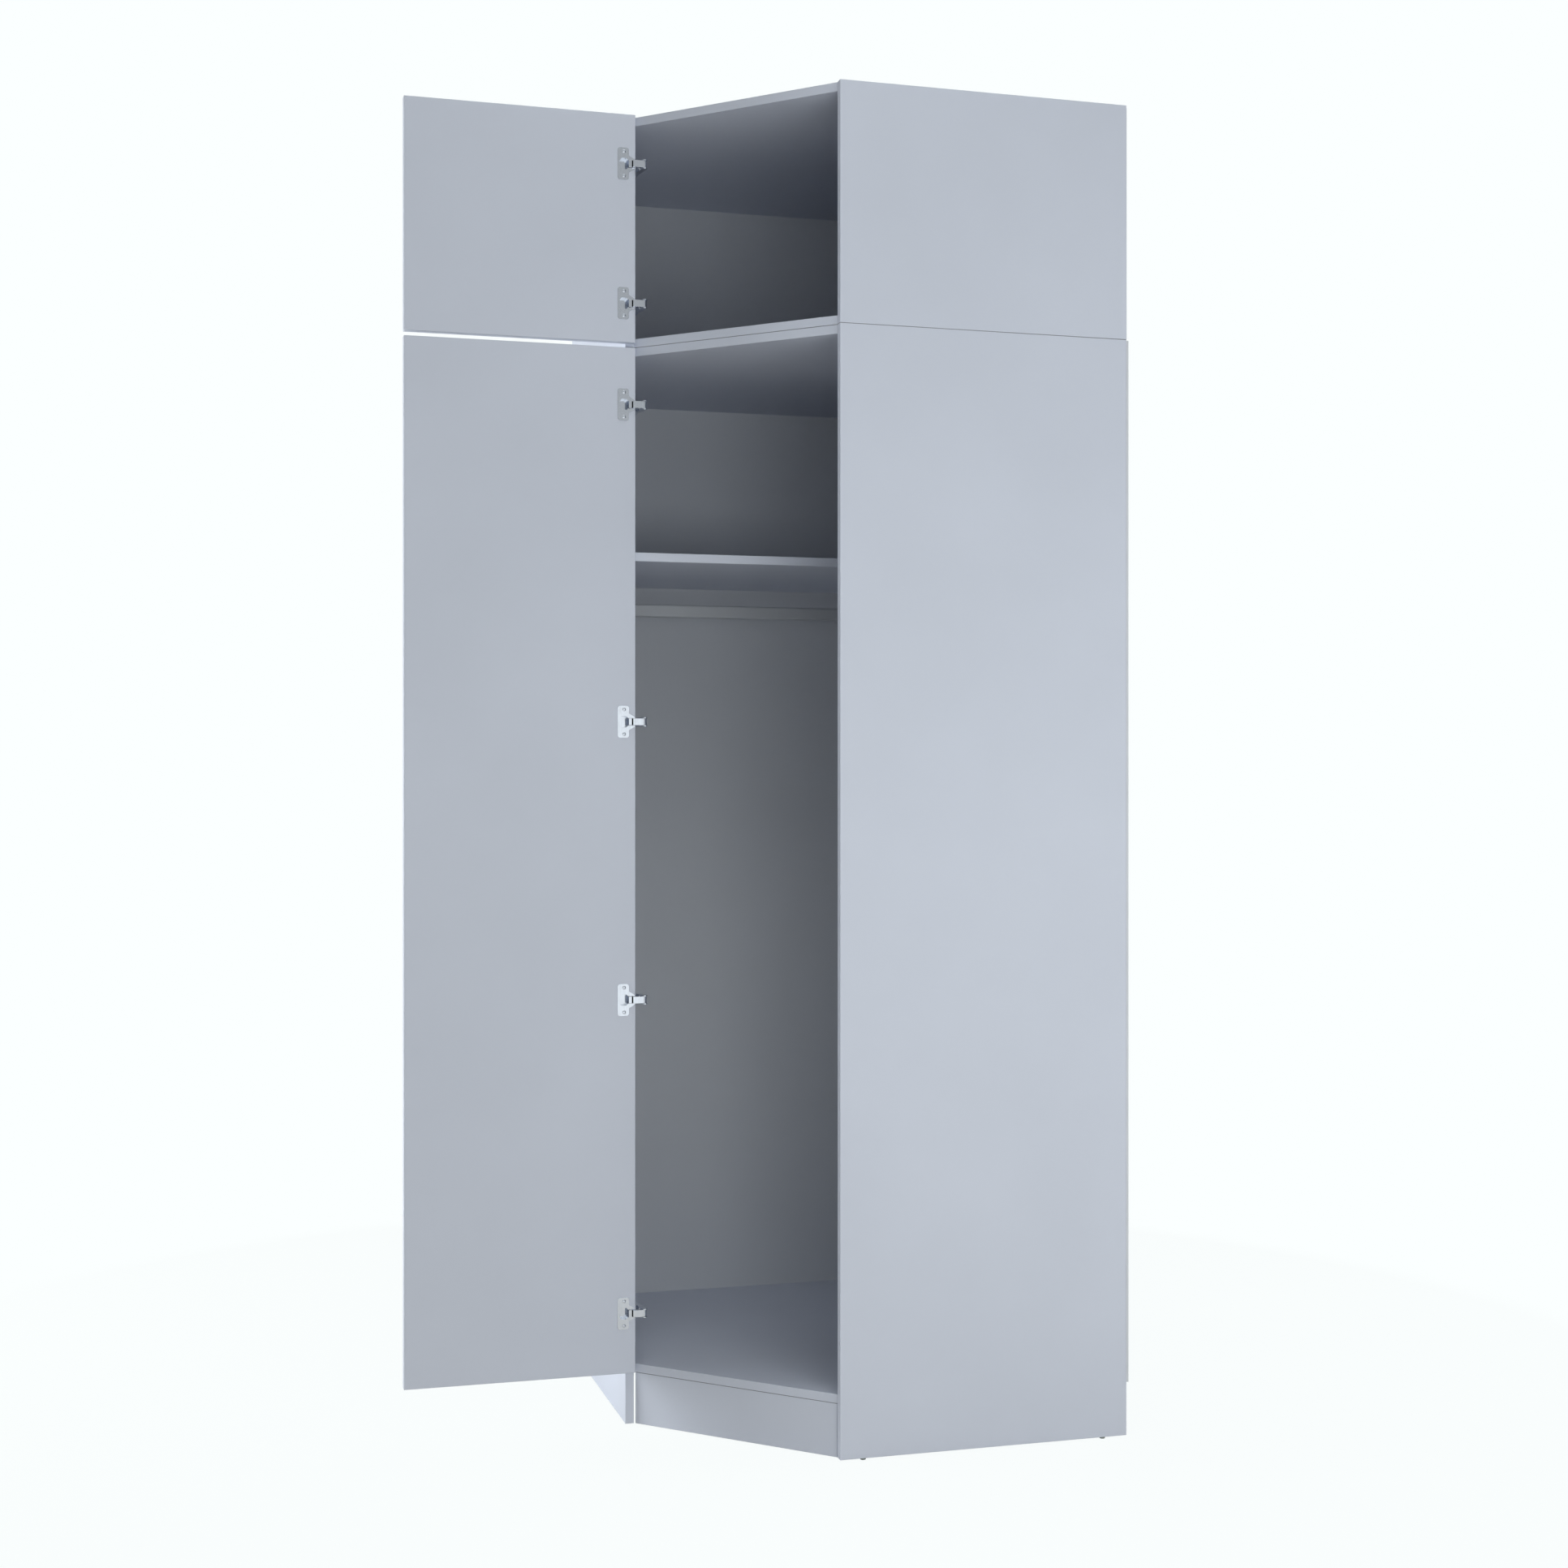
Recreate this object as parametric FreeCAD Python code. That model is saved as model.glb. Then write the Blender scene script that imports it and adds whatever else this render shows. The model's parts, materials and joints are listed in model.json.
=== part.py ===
import FreeCAD, Part
import math
import os

os.makedirs("parts", exist_ok=True)

Vector = FreeCAD.Vector
ROOT2 = math.sqrt(2.0)
ALONG_X = (1.0, 0.0, 0.0)
ALONG_Y = (0.0, 1.0, 0.0)
ALONG_Z = (0.0, 0.0, 1.0)

# All sizes are millimetres. In plan the right side runs along X and the left side along Y.
# The right side's front outer corner is (0, 0), and Z is zero at the lower edge of the sides.

# Boards
BOARD = 16.0
BACK_SHEET = 4.0
DOOR_BOARD = 18.0
BOARD_ARRIS = 0.7
DOOR_ARRIS = 1.5

# Carcass
SIDE_DEPTH = 541.0
FRONT_STEP = 315.0
LOWER_HEIGHT = 1977.0
UPPER_HEIGHT = 423.0
PLINTH_HEIGHT = 94.0
FRONT_SETBACK = 1.4
PLINTH_GAP = 2.7
BACK_INSET_LOWER = 2.0
BACK_INSET_UPPER = 8.0
POST_WIDTH = 80.0

# Glides
GLIDE_HEIGHT = 4.0
GLIDE_RADIUS = 5.0
GLIDE_STEM_RADIUS = 3.0
GLIDE_STEM_LENGTH = 14.0
GLIDE_FROM_END = 44.0

# Shelf and hanging rail
SHELF_BELOW_HEAD = 376.0
SHELF_PLAY = 0.5
PIN_RADIUS = 2.5
PIN_DEPTH = 9.0
PIN_REACH = 9.0
PIN_FROM_EDGE = 40.0
TRAVERSE_HEIGHT = 100.0
RAIL_HEIGHT = 25.0
RAIL_DEPTH = 13.0
RAIL_WALL = 1.2
RAIL_CORNER = 4.0
RAIL_BELOW_SHELF = 85.0
SOCKET_PLATE = 3.0
SOCKET_COLLAR = 12.0
SOCKET_WALL = 2.5
SOCKET_PLATE_MARGIN = 2.0
SOCKET_PLATE_HEIGHT = 56.0
SOCKET_SCREW_PITCH = 43.0

# Doors
DOOR_GAP = 1.5
DOOR_REVEAL = 4.0
DOOR_TOP_REVEAL = 1.0
PIVOT_IN = 2.9
PIVOT_DEEP = 10.5
LOWER_HINGE_FROM_FOOT = 110.0
LOWER_HINGE_FROM_HEAD = 105.0
LOWER_HINGE_SHARES = (0.0, 0.345, 0.651, 1.0)
UPPER_HINGE_FROM_FOOT = 71.0
UPPER_HINGE_FROM_HEAD = 91.0
UPPER_HINGE_SHARES = (0.0, 1.0)

# Hinge, measured on the door from its hinge edge and into the board from its inner face
CUP_CENTRE = 20.3
CUP_RADIUS = 12.9
CUP_DEPTH = 11.6
CUP_FLOOR = 1.0
SCREW_LINE = 21.5
RECESS_LENGTH = 17.4
RECESS_HEIGHT = 20.4
RECESS_CORNER = 4.5
FLANGE_START = 12.3
FLANGE_END = 33.5
FLANGE_HEIGHT = 58.6
FLANGE_THICKNESS = 1.3
FLANGE_CORNER = 5.0
WING_START = 1.3
WING_NEAR_HEIGHT = 17.5
WING_FAR_HEIGHT = 32.4
WING_THICKNESS = 1.0
CUP_SCREW_PITCH = 45.0
CUP_PIN_IN = 13.0
CUP_PIN_DEEP = 4.0
CUP_PIN_RADIUS = 1.5
LINK_HEIGHT = 12.5
LINK_EYE_RADIUS = 3.2
LINK_NEAR_FACE = 2.5
LINK_FAR_FACE = 8.5
KNUCKLE_OUT = 16.5
NECK_FACE = 3.6
BAR_IN = 5.8
BAR_OUT = 13.5
PLATE_LINK_THICKNESS = 1.5
PLATE_LINK_RADIUS = 4.5
KNUCKLE_RIVET_RADIUS = 2.6
KNUCKLE_RIVET_HEAD = 0.7
ARM_PIN_RADIUS = 2.0
ARM_PIN_OFF_SIDE = 10.0
ARM_PIN_BEHIND = 5.0
ARM_LENGTH = 62.0
ARM_THICKNESS = 10.0
MOUNT_PLATE_THICKNESS = 4.0
MOUNT_PLATE_START = 20.0
MOUNT_PLATE_LENGTH = 46.0
MOUNT_PLATE_HEIGHT = 50.0
MOUNT_SCREW_LINE = 37.0
MOUNT_SCREW_PITCH = 32.0

# Fasteners
FIT = 0.1
RUNNING_FIT = 0.05
SIDE_PLAY = 0.25
SCREW_RADIUS = 1.75
SCREW_LENGTH = 12.0
SCREW_HEAD_RADIUS = 3.3
SCREW_HEAD_HEIGHT = 1.6
CROSS_WIDTH = 0.9
DOWEL_RADIUS = 4.0
DOWEL_SHALLOW = 12.0
DOWEL_DEEP = 18.0
CAM_RADIUS = 7.5
CAM_HEIGHT = 12.5
CAM_FROM_EDGE = 24.0
CAM_BOLT_RADIUS = 3.0
CAM_BOLT_IN_SIDE = 11.0
NAIL_RADIUS = 1.0
NAIL_LENGTH = 20.0
JOINT_BOLT_RADIUS = 4.0
JOINT_HEAD_RADIUS = 7.5
JOINT_HEAD_HEIGHT = 2.5
CAM_SHARES = (0.185, 0.815)
DOWEL_SHARES = (0.11, 0.5, 0.89)

# Wall brackets
BRACKET_WIDTH = 40.0
BRACKET_LEG = 40.0
BRACKET_THICKNESS = 2.0
BRACKET_HOLE_RADIUS = 3.0
BRACKET_FROM_POST = 25.0
BRACKET_PITCH = 100.0

# Lines and levels that follow from the sizes above
REAR_LINE = SIDE_DEPTH + FRONT_STEP
RIGHT_LINE = SIDE_DEPTH
LEFT_OUTER = -FRONT_STEP
LEFT_INNER = LEFT_OUTER + BOARD
FRONT_SUM = BOARD + FRONT_SETBACK * ROOT2
TOTAL_HEIGHT = LOWER_HEIGHT + UPPER_HEIGHT
BOTTOM_TOP = PLINTH_HEIGHT + BOARD
LOWER_CEILING = LOWER_HEIGHT - BOARD
UPPER_FLOOR = LOWER_HEIGHT + BOARD
UPPER_CEILING = TOTAL_HEIGHT - BOARD
SHELF_TOP = LOWER_HEIGHT - SHELF_BELOW_HEAD
SHELF_UNDER = SHELF_TOP - BOARD
RAIL_CENTRE = SHELF_TOP - RAIL_BELOW_SHELF
RAIL_LINE = FRONT_STEP + SIDE_DEPTH / 2.0
TRAVERSE_FACE = RIGHT_LINE - BOARD
POST_FRONT = REAR_LINE - POST_WIDTH
POST_LEFT = TRAVERSE_FACE - POST_WIDTH
POST_FACE = REAR_LINE - BOARD

DOOR_WIDTH = ROOT2 * (FRONT_STEP - BOARD) - 2.0 * DOOR_GAP
LOWER_DOOR_FOOT = PLINTH_HEIGHT + DOOR_REVEAL
LOWER_DOOR_HEAD = LOWER_HEIGHT - DOOR_REVEAL
UPPER_DOOR_FOOT = LOWER_HEIGHT + DOOR_REVEAL + DOOR_TOP_REVEAL
UPPER_DOOR_HEAD = TOTAL_HEIGHT - DOOR_TOP_REVEAL

# The closed door's hinge corner, then the pivot, then where the open door's corner comes to
CLOSED_X = LEFT_INNER + DOOR_GAP / ROOT2
CLOSED_Y = FRONT_STEP - DOOR_GAP / ROOT2
PIVOT_X = CLOSED_X + (PIVOT_IN - PIVOT_DEEP) / ROOT2
PIVOT_Y = CLOSED_Y - (PIVOT_IN + PIVOT_DEEP) / ROOT2
HINGE_EDGE = PIVOT_X + PIVOT_IN
INNER_FACE = PIVOT_Y - PIVOT_DEEP

RECESS_START = SCREW_LINE - RECESS_LENGTH / 2.0
RECESS_END = SCREW_LINE + RECESS_LENGTH / 2.0
CUP_PIN_EDGE = CUP_CENTRE - CUP_PIN_IN + CUP_PIN_RADIUS
CUP_PIN_LENGTH = 2.0 * (math.sqrt(CUP_RADIUS ** 2 - CUP_PIN_EDGE ** 2) - CUP_FLOOR)
LINK_HALF = LINK_HEIGHT / 2.0
SLOT_HALF = LINK_HALF + 2.0 * SIDE_PLAY
LINK_MIDDLE = (LINK_NEAR_FACE + LINK_FAR_FACE) / 2.0
ARM_PIN_X = LEFT_INNER + ARM_PIN_OFF_SIDE
ARM_PIN_Y = FRONT_STEP + ARM_PIN_BEHIND
MOUNT_FACE = LEFT_INNER + MOUNT_PLATE_THICKNESS
MOUNT_START = FRONT_STEP + MOUNT_PLATE_START
MOUNT_SCREW_Y = FRONT_STEP + MOUNT_SCREW_LINE

# The origin is under the middle of the box around everything, with the doors open
ORIGIN_X = (HINGE_EDGE - DOOR_WIDTH + RIGHT_LINE + BACK_SHEET) / 2.0
ORIGIN_Y = (REAR_LINE + BACK_SHEET) / 2.0
ORIGIN_Z = -GLIDE_HEIGHT

boards = {}
bores = {}
nodes = {}


# Small shapes

def box(x0, x1, y0, y1, z0, z1):
    """A box between two corners."""
    return Part.makeBox(x1 - x0, y1 - y0, z1 - z0, Vector(x0, y0, z0))


def prism(outline, z0, z1):
    """An upright prism on a plan outline."""
    points = [Vector(x, y, z0) for x, y in outline]
    face = Part.Face(Part.makePolygon(points + points[:1]))
    return face.extrude(Vector(0, 0, z1 - z0))


def rod(start, axis, radius, length):
    """A round bar from a start point along an axis."""
    return Part.makeCylinder(radius, length, Vector(*start), Vector(*axis))


def step_along(start, axis, distance):
    """The point a distance along an axis."""
    return tuple(place + part * distance for place, part in zip(start, axis))


def reverse(axis):
    """The opposite axis."""
    return tuple(-part for part in axis)


def eased(shape, radius, wanted=None):
    """Round the edges whose middle passes the test, or every edge."""
    edges = []
    for edge in shape.Edges:
        if wanted is None or wanted(edge.CenterOfMass):
            edges.append(edge)
    return shape.makeFillet(radius, edges)


def add_board(name, shape):
    """Keep a board, ready for its bores."""
    boards[name] = shape
    bores[name] = []


def drill(name, start, axis, radius, length):
    """Note a bore in a board."""
    bores[name].append(rod(start, axis, radius, length))


def add_to(name, *solids):
    """Add separate solids to one node."""
    nodes.setdefault(name, []).extend(solids)


# Carcass boards

def on_front_line(point):
    """True for the long front edges of the five-sided boards."""
    return abs(point.x + point.y - FRONT_SUM) < 0.01 and point.x < -PLINTH_GAP * 4.0


def five_sided(z0):
    """A top or bottom between the two sides, with the diagonal front edge."""
    outline = [
        (FRONT_SUM - BOARD, BOARD),
        (RIGHT_LINE, BOARD),
        (RIGHT_LINE, REAR_LINE),
        (LEFT_INNER, REAR_LINE),
        (LEFT_INNER, FRONT_SUM - LEFT_INNER),
    ]
    board = prism(outline, z0, z0 + BOARD)
    return eased(board, BOARD_ARRIS, on_front_line)


def plinth_board():
    """The plinth under the front edge, short of both sides and cut square at its left end."""
    low_x = LEFT_INNER + PLINTH_GAP
    low_y = BOARD + PLINTH_GAP
    inner_sum = FRONT_SUM + BOARD * ROOT2
    square_step = BOARD / ROOT2
    outline = [
        (low_x, FRONT_SUM - low_x),
        (FRONT_SUM - low_y, low_y),
        (inner_sum - low_y, low_y),
        (low_x + square_step, FRONT_SUM - low_x + square_step),
    ]
    return eased(prism(outline, 0.0, PLINTH_HEIGHT), BOARD_ARRIS, on_front_line)


def cabinet(name, foot, head, floor):
    """The sides, top, bottom and corner posts of one cabinet."""
    ceiling = head - BOARD
    right = box(0.0, SIDE_DEPTH, 0.0, BOARD, foot, head)
    left = box(LEFT_OUTER, LEFT_INNER, FRONT_STEP, REAR_LINE, foot, head)
    add_board(name + "_right_side", eased(right, BOARD_ARRIS))
    add_board(name + "_left_side", eased(left, BOARD_ARRIS))
    add_board(name + "_bottom", five_sided(floor - BOARD))
    add_board(name + "_top", five_sided(ceiling))
    post_right = box(TRAVERSE_FACE, RIGHT_LINE, POST_FRONT, REAR_LINE, floor, ceiling)
    post_rear = box(POST_LEFT, TRAVERSE_FACE, POST_FACE, REAR_LINE, floor, ceiling)
    add_board(name + "_post_right", post_right)
    add_board(name + "_post_rear", post_rear)


def back_sheets(name, foot, head, side_inset):
    """The two back sheets, nailed to the rear edges."""
    rear = box(LEFT_OUTER + side_inset, RIGHT_LINE + BACK_SHEET,
               REAR_LINE, REAR_LINE + BACK_SHEET, foot, head)
    right = box(RIGHT_LINE, RIGHT_LINE + BACK_SHEET, side_inset, REAR_LINE, foot, head)
    add_board(name + "_rear_back", rear)
    add_board(name + "_right_back", right)


def shelf_board():
    """The hat shelf, notched round the corner posts."""
    board = box(LEFT_INNER + SHELF_PLAY, RIGHT_LINE - SHELF_PLAY,
                FRONT_STEP, REAR_LINE - SHELF_PLAY, SHELF_UNDER, SHELF_TOP)
    board = eased(board, BOARD_ARRIS, lambda point: abs(point.y - FRONT_STEP) < 0.01)
    notch_right = box(TRAVERSE_FACE - SHELF_PLAY, RIGHT_LINE, POST_FRONT - SHELF_PLAY, REAR_LINE,
                      SHELF_UNDER, SHELF_TOP)
    notch_rear = box(POST_LEFT - SHELF_PLAY, RIGHT_LINE, POST_FACE - SHELF_PLAY, REAR_LINE,
                     SHELF_UNDER, SHELF_TOP)
    return board.cut(notch_right).cut(notch_rear)


def make_boards():
    """Every board before its bores."""
    cabinet("lower", 0.0, LOWER_HEIGHT, BOTTOM_TOP)
    cabinet("upper", LOWER_HEIGHT, TOTAL_HEIGHT, UPPER_FLOOR)
    back_sheets("lower", PLINTH_HEIGHT + BACK_INSET_LOWER, LOWER_HEIGHT - BACK_INSET_LOWER, 0.0)
    back_sheets("upper", LOWER_HEIGHT + BACK_INSET_LOWER, TOTAL_HEIGHT - BACK_INSET_LOWER,
                BACK_INSET_UPPER)
    add_board("plinth", plinth_board())
    add_board("rear_leg", box(POST_LEFT, RIGHT_LINE, POST_FACE, REAR_LINE, 0.0, PLINTH_HEIGHT))
    traverse = box(TRAVERSE_FACE, RIGHT_LINE, BOARD, POST_FRONT,
                   SHELF_UNDER - TRAVERSE_HEIGHT, SHELF_UNDER)
    add_board("shelf_traverse", traverse)
    add_board("hat_shelf", shelf_board())
    add_board("lower_door", door_board(LOWER_DOOR_FOOT, LOWER_DOOR_HEAD))
    add_board("upper_door", door_board(UPPER_DOOR_FOOT, UPPER_DOOR_HEAD))


# Fasteners between boards

def dowel(point, axis, shallow, deep):
    """A dowel across a joint: a short end behind the point, a long end along the axis."""
    start = step_along(point, axis, -DOWEL_SHALLOW)
    add_to("dowels", rod(start, axis, DOWEL_RADIUS, DOWEL_SHALLOW + DOWEL_DEEP))
    bore = DOWEL_RADIUS + FIT
    drill(shallow, point, reverse(axis), bore, DOWEL_SHALLOW + FIT)
    drill(deep, point, axis, bore, DOWEL_DEEP + FIT)


def cam_joint(point, axis, side, panel, cam_up, face):
    """A cam in a panel and its bolt in the side's inner face."""
    centre = step_along(point, axis, CAM_FROM_EDGE)
    cam_axis = ALONG_Z if cam_up else reverse(ALONG_Z)
    cam_start = (centre[0], centre[1], face)
    inward = reverse(cam_axis)
    cam = rod(cam_start, inward, CAM_RADIUS, CAM_HEIGHT)
    bolt_start = step_along(point, axis, -CAM_BOLT_IN_SIDE)
    bolt_length = CAM_BOLT_IN_SIDE + CAM_FROM_EDGE
    socket = rod(step_along(centre, axis, -CAM_FROM_EDGE), axis, CAM_BOLT_RADIUS + FIT,
                 CAM_FROM_EDGE + FIT)
    slot = Part.makeBox(2.0 * CAM_RADIUS, CROSS_WIDTH, CROSS_WIDTH)
    slot.translate(Vector(centre[0] - CAM_RADIUS, centre[1] - CROSS_WIDTH / 2.0,
                          face - (CROSS_WIDTH if cam_up else 0.0)))
    add_to("cam_locks", cam.cut(socket).cut(slot))
    add_to("cam_bolts", rod(bolt_start, axis, CAM_BOLT_RADIUS, bolt_length))
    drill(side, point, reverse(axis), CAM_BOLT_RADIUS + FIT, CAM_BOLT_IN_SIDE + FIT)
    drill(panel, point, axis, CAM_BOLT_RADIUS + FIT, CAM_FROM_EDGE)
    drill(panel, cam_start, inward, CAM_RADIUS + FIT, CAM_HEIGHT + FIT)


def side_edges(distance, height):
    """The same place on both sides' inner faces: point, inward axis and side name."""
    return (
        ((distance, BOARD, height), ALONG_Y, "right_side"),
        ((LEFT_INNER, FRONT_STEP + distance, height), ALONG_X, "left_side"),
    )


def join_panels():
    """Cams and dowels between each top or bottom and the two sides."""
    panels = (
        ("lower", "lower_bottom", PLINTH_HEIGHT, False),
        ("lower", "lower_top", LOWER_CEILING, True),
        ("upper", "upper_bottom", LOWER_HEIGHT, False),
        ("upper", "upper_top", UPPER_CEILING, True),
    )
    for name, panel, under, cam_up in panels:
        middle = under + BOARD / 2.0
        face = under + BOARD if cam_up else under
        for share in CAM_SHARES:
            for point, axis, side in side_edges(SIDE_DEPTH * share, middle):
                cam_joint(point, axis, name + "_" + side, panel, cam_up, face)
        for share in DOWEL_SHARES:
            for point, axis, side in side_edges(SIDE_DEPTH * share, middle):
                dowel(point, axis, name + "_" + side, panel)


def join_posts():
    """Dowels for the corner posts, the rear leg, the plinth and the traverse."""
    down = reverse(ALONG_Z)
    middle_x = TRAVERSE_FACE + BOARD / 2.0
    middle_y = POST_FACE + BOARD / 2.0
    stand_places = ((middle_x, POST_FRONT + POST_WIDTH / 4.0, "_post_right"),
                    (POST_LEFT + POST_WIDTH / 2.0, middle_y, "_post_rear"))
    levels = (("lower", BOTTOM_TOP, LOWER_CEILING), ("upper", UPPER_FLOOR, UPPER_CEILING))
    for name, floor, ceiling in levels:
        for x, y, post in stand_places:
            dowel((x, y, floor), ALONG_Z, name + "_bottom", name + post)
            dowel((x, y, ceiling), down, name + "_top", name + post)
        for share in (0.2, 0.5, 0.8):
            height = floor + (ceiling - floor) * share
            point = (TRAVERSE_FACE, middle_y, height)
            dowel(point, reverse(ALONG_X), name + "_post_right", name + "_post_rear")
    for x in (POST_LEFT + POST_WIDTH / 4.0, RIGHT_LINE - POST_WIDTH / 4.0):
        dowel((x, middle_y, PLINTH_HEIGHT), down, "lower_bottom", "rear_leg")
    plinth_middle = FRONT_SUM + BOARD / ROOT2
    for share in (0.15, 0.5, 0.85):
        x = LEFT_INNER + (FRONT_STEP - BOARD) * share
        dowel((x, plinth_middle - x, PLINTH_HEIGHT), down, "lower_bottom", "plinth")
    for height in (SHELF_UNDER - TRAVERSE_HEIGHT * 0.25, SHELF_UNDER - TRAVERSE_HEIGHT * 0.85):
        dowel((middle_x, BOARD, height), ALONG_Y, "lower_right_side", "shelf_traverse")
        dowel((middle_x, POST_FRONT, height), reverse(ALONG_Y), "lower_post_right", "shelf_traverse")


def nail(point, axis, sheet, board):
    """A nail, flush with the sheet's outer face and driven along the axis."""
    add_to("back_nails", rod(point, axis, NAIL_RADIUS, NAIL_LENGTH))
    drill(sheet, point, axis, NAIL_RADIUS + FIT, BACK_SHEET)
    board_face = step_along(point, axis, BACK_SHEET)
    drill(board, board_face, axis, NAIL_RADIUS + FIT, NAIL_LENGTH - BACK_SHEET + FIT)


def nail_backs():
    """Nails round the four back sheets."""
    forward = reverse(ALONG_Y)
    inward = reverse(ALONG_X)
    rear_face = REAR_LINE + BACK_SHEET
    right_face = RIGHT_LINE + BACK_SHEET
    half = BOARD / 2.0
    levels = (("lower", PLINTH_HEIGHT, LOWER_HEIGHT, 6), ("upper", LOWER_HEIGHT, TOTAL_HEIGHT, 3))
    for name, foot, head, count in levels:
        for index in range(count):
            height = foot + (head - foot) * (index + 0.5) / count
            nail((LEFT_INNER - BOARD / 4.0, rear_face, height), forward,
                 name + "_rear_back", name + "_left_side")
            nail((POST_LEFT + BOARD, rear_face, height), forward,
                 name + "_rear_back", name + "_post_rear")
            nail((right_face, BOARD * 0.75, height), inward,
                 name + "_right_back", name + "_right_side")
            nail((right_face, POST_FRONT + BOARD, height), inward,
                 name + "_right_back", name + "_post_right")
        for height, panel in ((foot + half, name + "_bottom"), (head - half, name + "_top")):
            for share in (0.2, 0.4, 0.6):
                x = LEFT_INNER + (RIGHT_LINE - LEFT_INNER) * share
                nail((x, rear_face, height), forward, name + "_rear_back", panel)
                nail((right_face, REAR_LINE * share, height), inward, name + "_right_back", panel)


def join_cabinets():
    """Bolts with wide heads that hold the upper cabinet on the lower one."""
    places = ((SIDE_DEPTH * 0.8, BOARD * 4.0), (LEFT_INNER + BOARD * 2.0, REAR_LINE - BOARD * 4.0),
              (SIDE_DEPTH * 0.8, REAR_LINE - POST_WIDTH * 1.5))
    down = reverse(ALONG_Z)
    for x, y in places:
        shank = rod((x, y, LOWER_CEILING), ALONG_Z, JOINT_BOLT_RADIUS, 2.0 * BOARD)
        low_head = rod((x, y, LOWER_CEILING), down, JOINT_HEAD_RADIUS, JOINT_HEAD_HEIGHT)
        high_head = rod((x, y, UPPER_FLOOR), ALONG_Z, JOINT_HEAD_RADIUS, JOINT_HEAD_HEIGHT)
        add_to("joining_bolts", shank.fuse(low_head).fuse(high_head).removeSplitter())
        for panel in ("lower_top", "upper_bottom"):
            drill(panel, (x, y, LOWER_CEILING), ALONG_Z, JOINT_BOLT_RADIUS + FIT, 2.0 * BOARD)


def screw(head_under, axis, length):
    """A screw with a domed cross head. The axis points into the work."""
    shank = rod(head_under, axis, SCREW_RADIUS, length)
    head = rod(head_under, reverse(axis), SCREW_HEAD_RADIUS, SCREW_HEAD_HEIGHT)
    top = step_along(head_under, axis, -SCREW_HEAD_HEIGHT)
    rim = [edge for edge in head.Edges if (edge.CenterOfMass - Vector(*top)).Length < 0.01]
    head = head.makeFillet(SCREW_HEAD_HEIGHT * 0.6, rim[:1])
    body = shank.fuse(head).removeSplitter()
    reach = SCREW_HEAD_RADIUS * 0.6
    for across in (ALONG_X, ALONG_Y, ALONG_Z):
        if abs(sum(a * b for a, b in zip(across, axis))) > 0.5:
            continue
        half = [CROSS_WIDTH / 2.0] * 3
        for index in range(3):
            if across[index]:
                half[index] = reach
        low = [place - size for place, size in zip(top, half)]
        body = body.cut(Part.makeBox(half[0] * 2.0, half[1] * 2.0, half[2] * 2.0, Vector(*low)))
    return body


# Feet, shelf pins and rail

def make_glides():
    """Plug-in glides under the sides and the rear leg."""
    far_end = SIDE_DEPTH - GLIDE_FROM_END
    places = (
        ("lower_right_side", GLIDE_FROM_END, BOARD / 2.0),
        ("lower_right_side", far_end, BOARD / 2.0),
        ("lower_left_side", LEFT_INNER - BOARD / 2.0, FRONT_STEP + GLIDE_FROM_END),
        ("lower_left_side", LEFT_INNER - BOARD / 2.0, FRONT_STEP + far_end),
        ("rear_leg", RIGHT_LINE - GLIDE_FROM_END, POST_FACE + BOARD / 2.0),
    )
    down = reverse(ALONG_Z)
    for board, x, y in places:
        pad = rod((x, y, 0.0), down, GLIDE_RADIUS, GLIDE_HEIGHT)
        pad = eased(pad, GLIDE_HEIGHT * 0.25, lambda point: point.z < -GLIDE_HEIGHT * 0.9)
        stem = rod((x, y, 0.0), ALONG_Z, GLIDE_STEM_RADIUS, GLIDE_STEM_LENGTH)
        add_to("glides", pad.fuse(stem).removeSplitter())
        drill(board, (x, y, 0.0), ALONG_Z, GLIDE_STEM_RADIUS + FIT, GLIDE_STEM_LENGTH + FIT)


def make_shelf_pins():
    """Pins under the shelf's left end and its rear edge."""
    height = SHELF_UNDER - PIN_RADIUS
    places = (
        ("lower_left_side", (LEFT_INNER, FRONT_STEP + PIN_FROM_EDGE, height), ALONG_X),
        ("lower_left_side", (LEFT_INNER, REAR_LINE - PIN_FROM_EDGE, height), ALONG_X),
        ("lower_post_rear", (POST_LEFT + PIN_FROM_EDGE, POST_FACE, height), reverse(ALONG_Y)),
    )
    for board, point, axis in places:
        start = step_along(point, axis, -PIN_DEPTH)
        add_to("shelf_pins", rod(start, axis, PIN_RADIUS, PIN_DEPTH + PIN_REACH))
        drill(board, point, reverse(axis), PIN_RADIUS + FIT, PIN_DEPTH + FIT)


def rail_block(x0, x1, grow):
    """A flat tube's outer shape along X, grown all round by a distance."""
    half_depth = RAIL_DEPTH / 2.0 + grow
    half_height = RAIL_HEIGHT / 2.0 + grow
    block = box(x0, x1, RAIL_LINE - half_depth, RAIL_LINE + half_depth,
                RAIL_CENTRE - half_height, RAIL_CENTRE + half_height)
    middle = (x0 + x1) / 2.0
    return eased(block, RAIL_CORNER + grow, lambda point: abs(point.x - middle) < 0.01)


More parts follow.
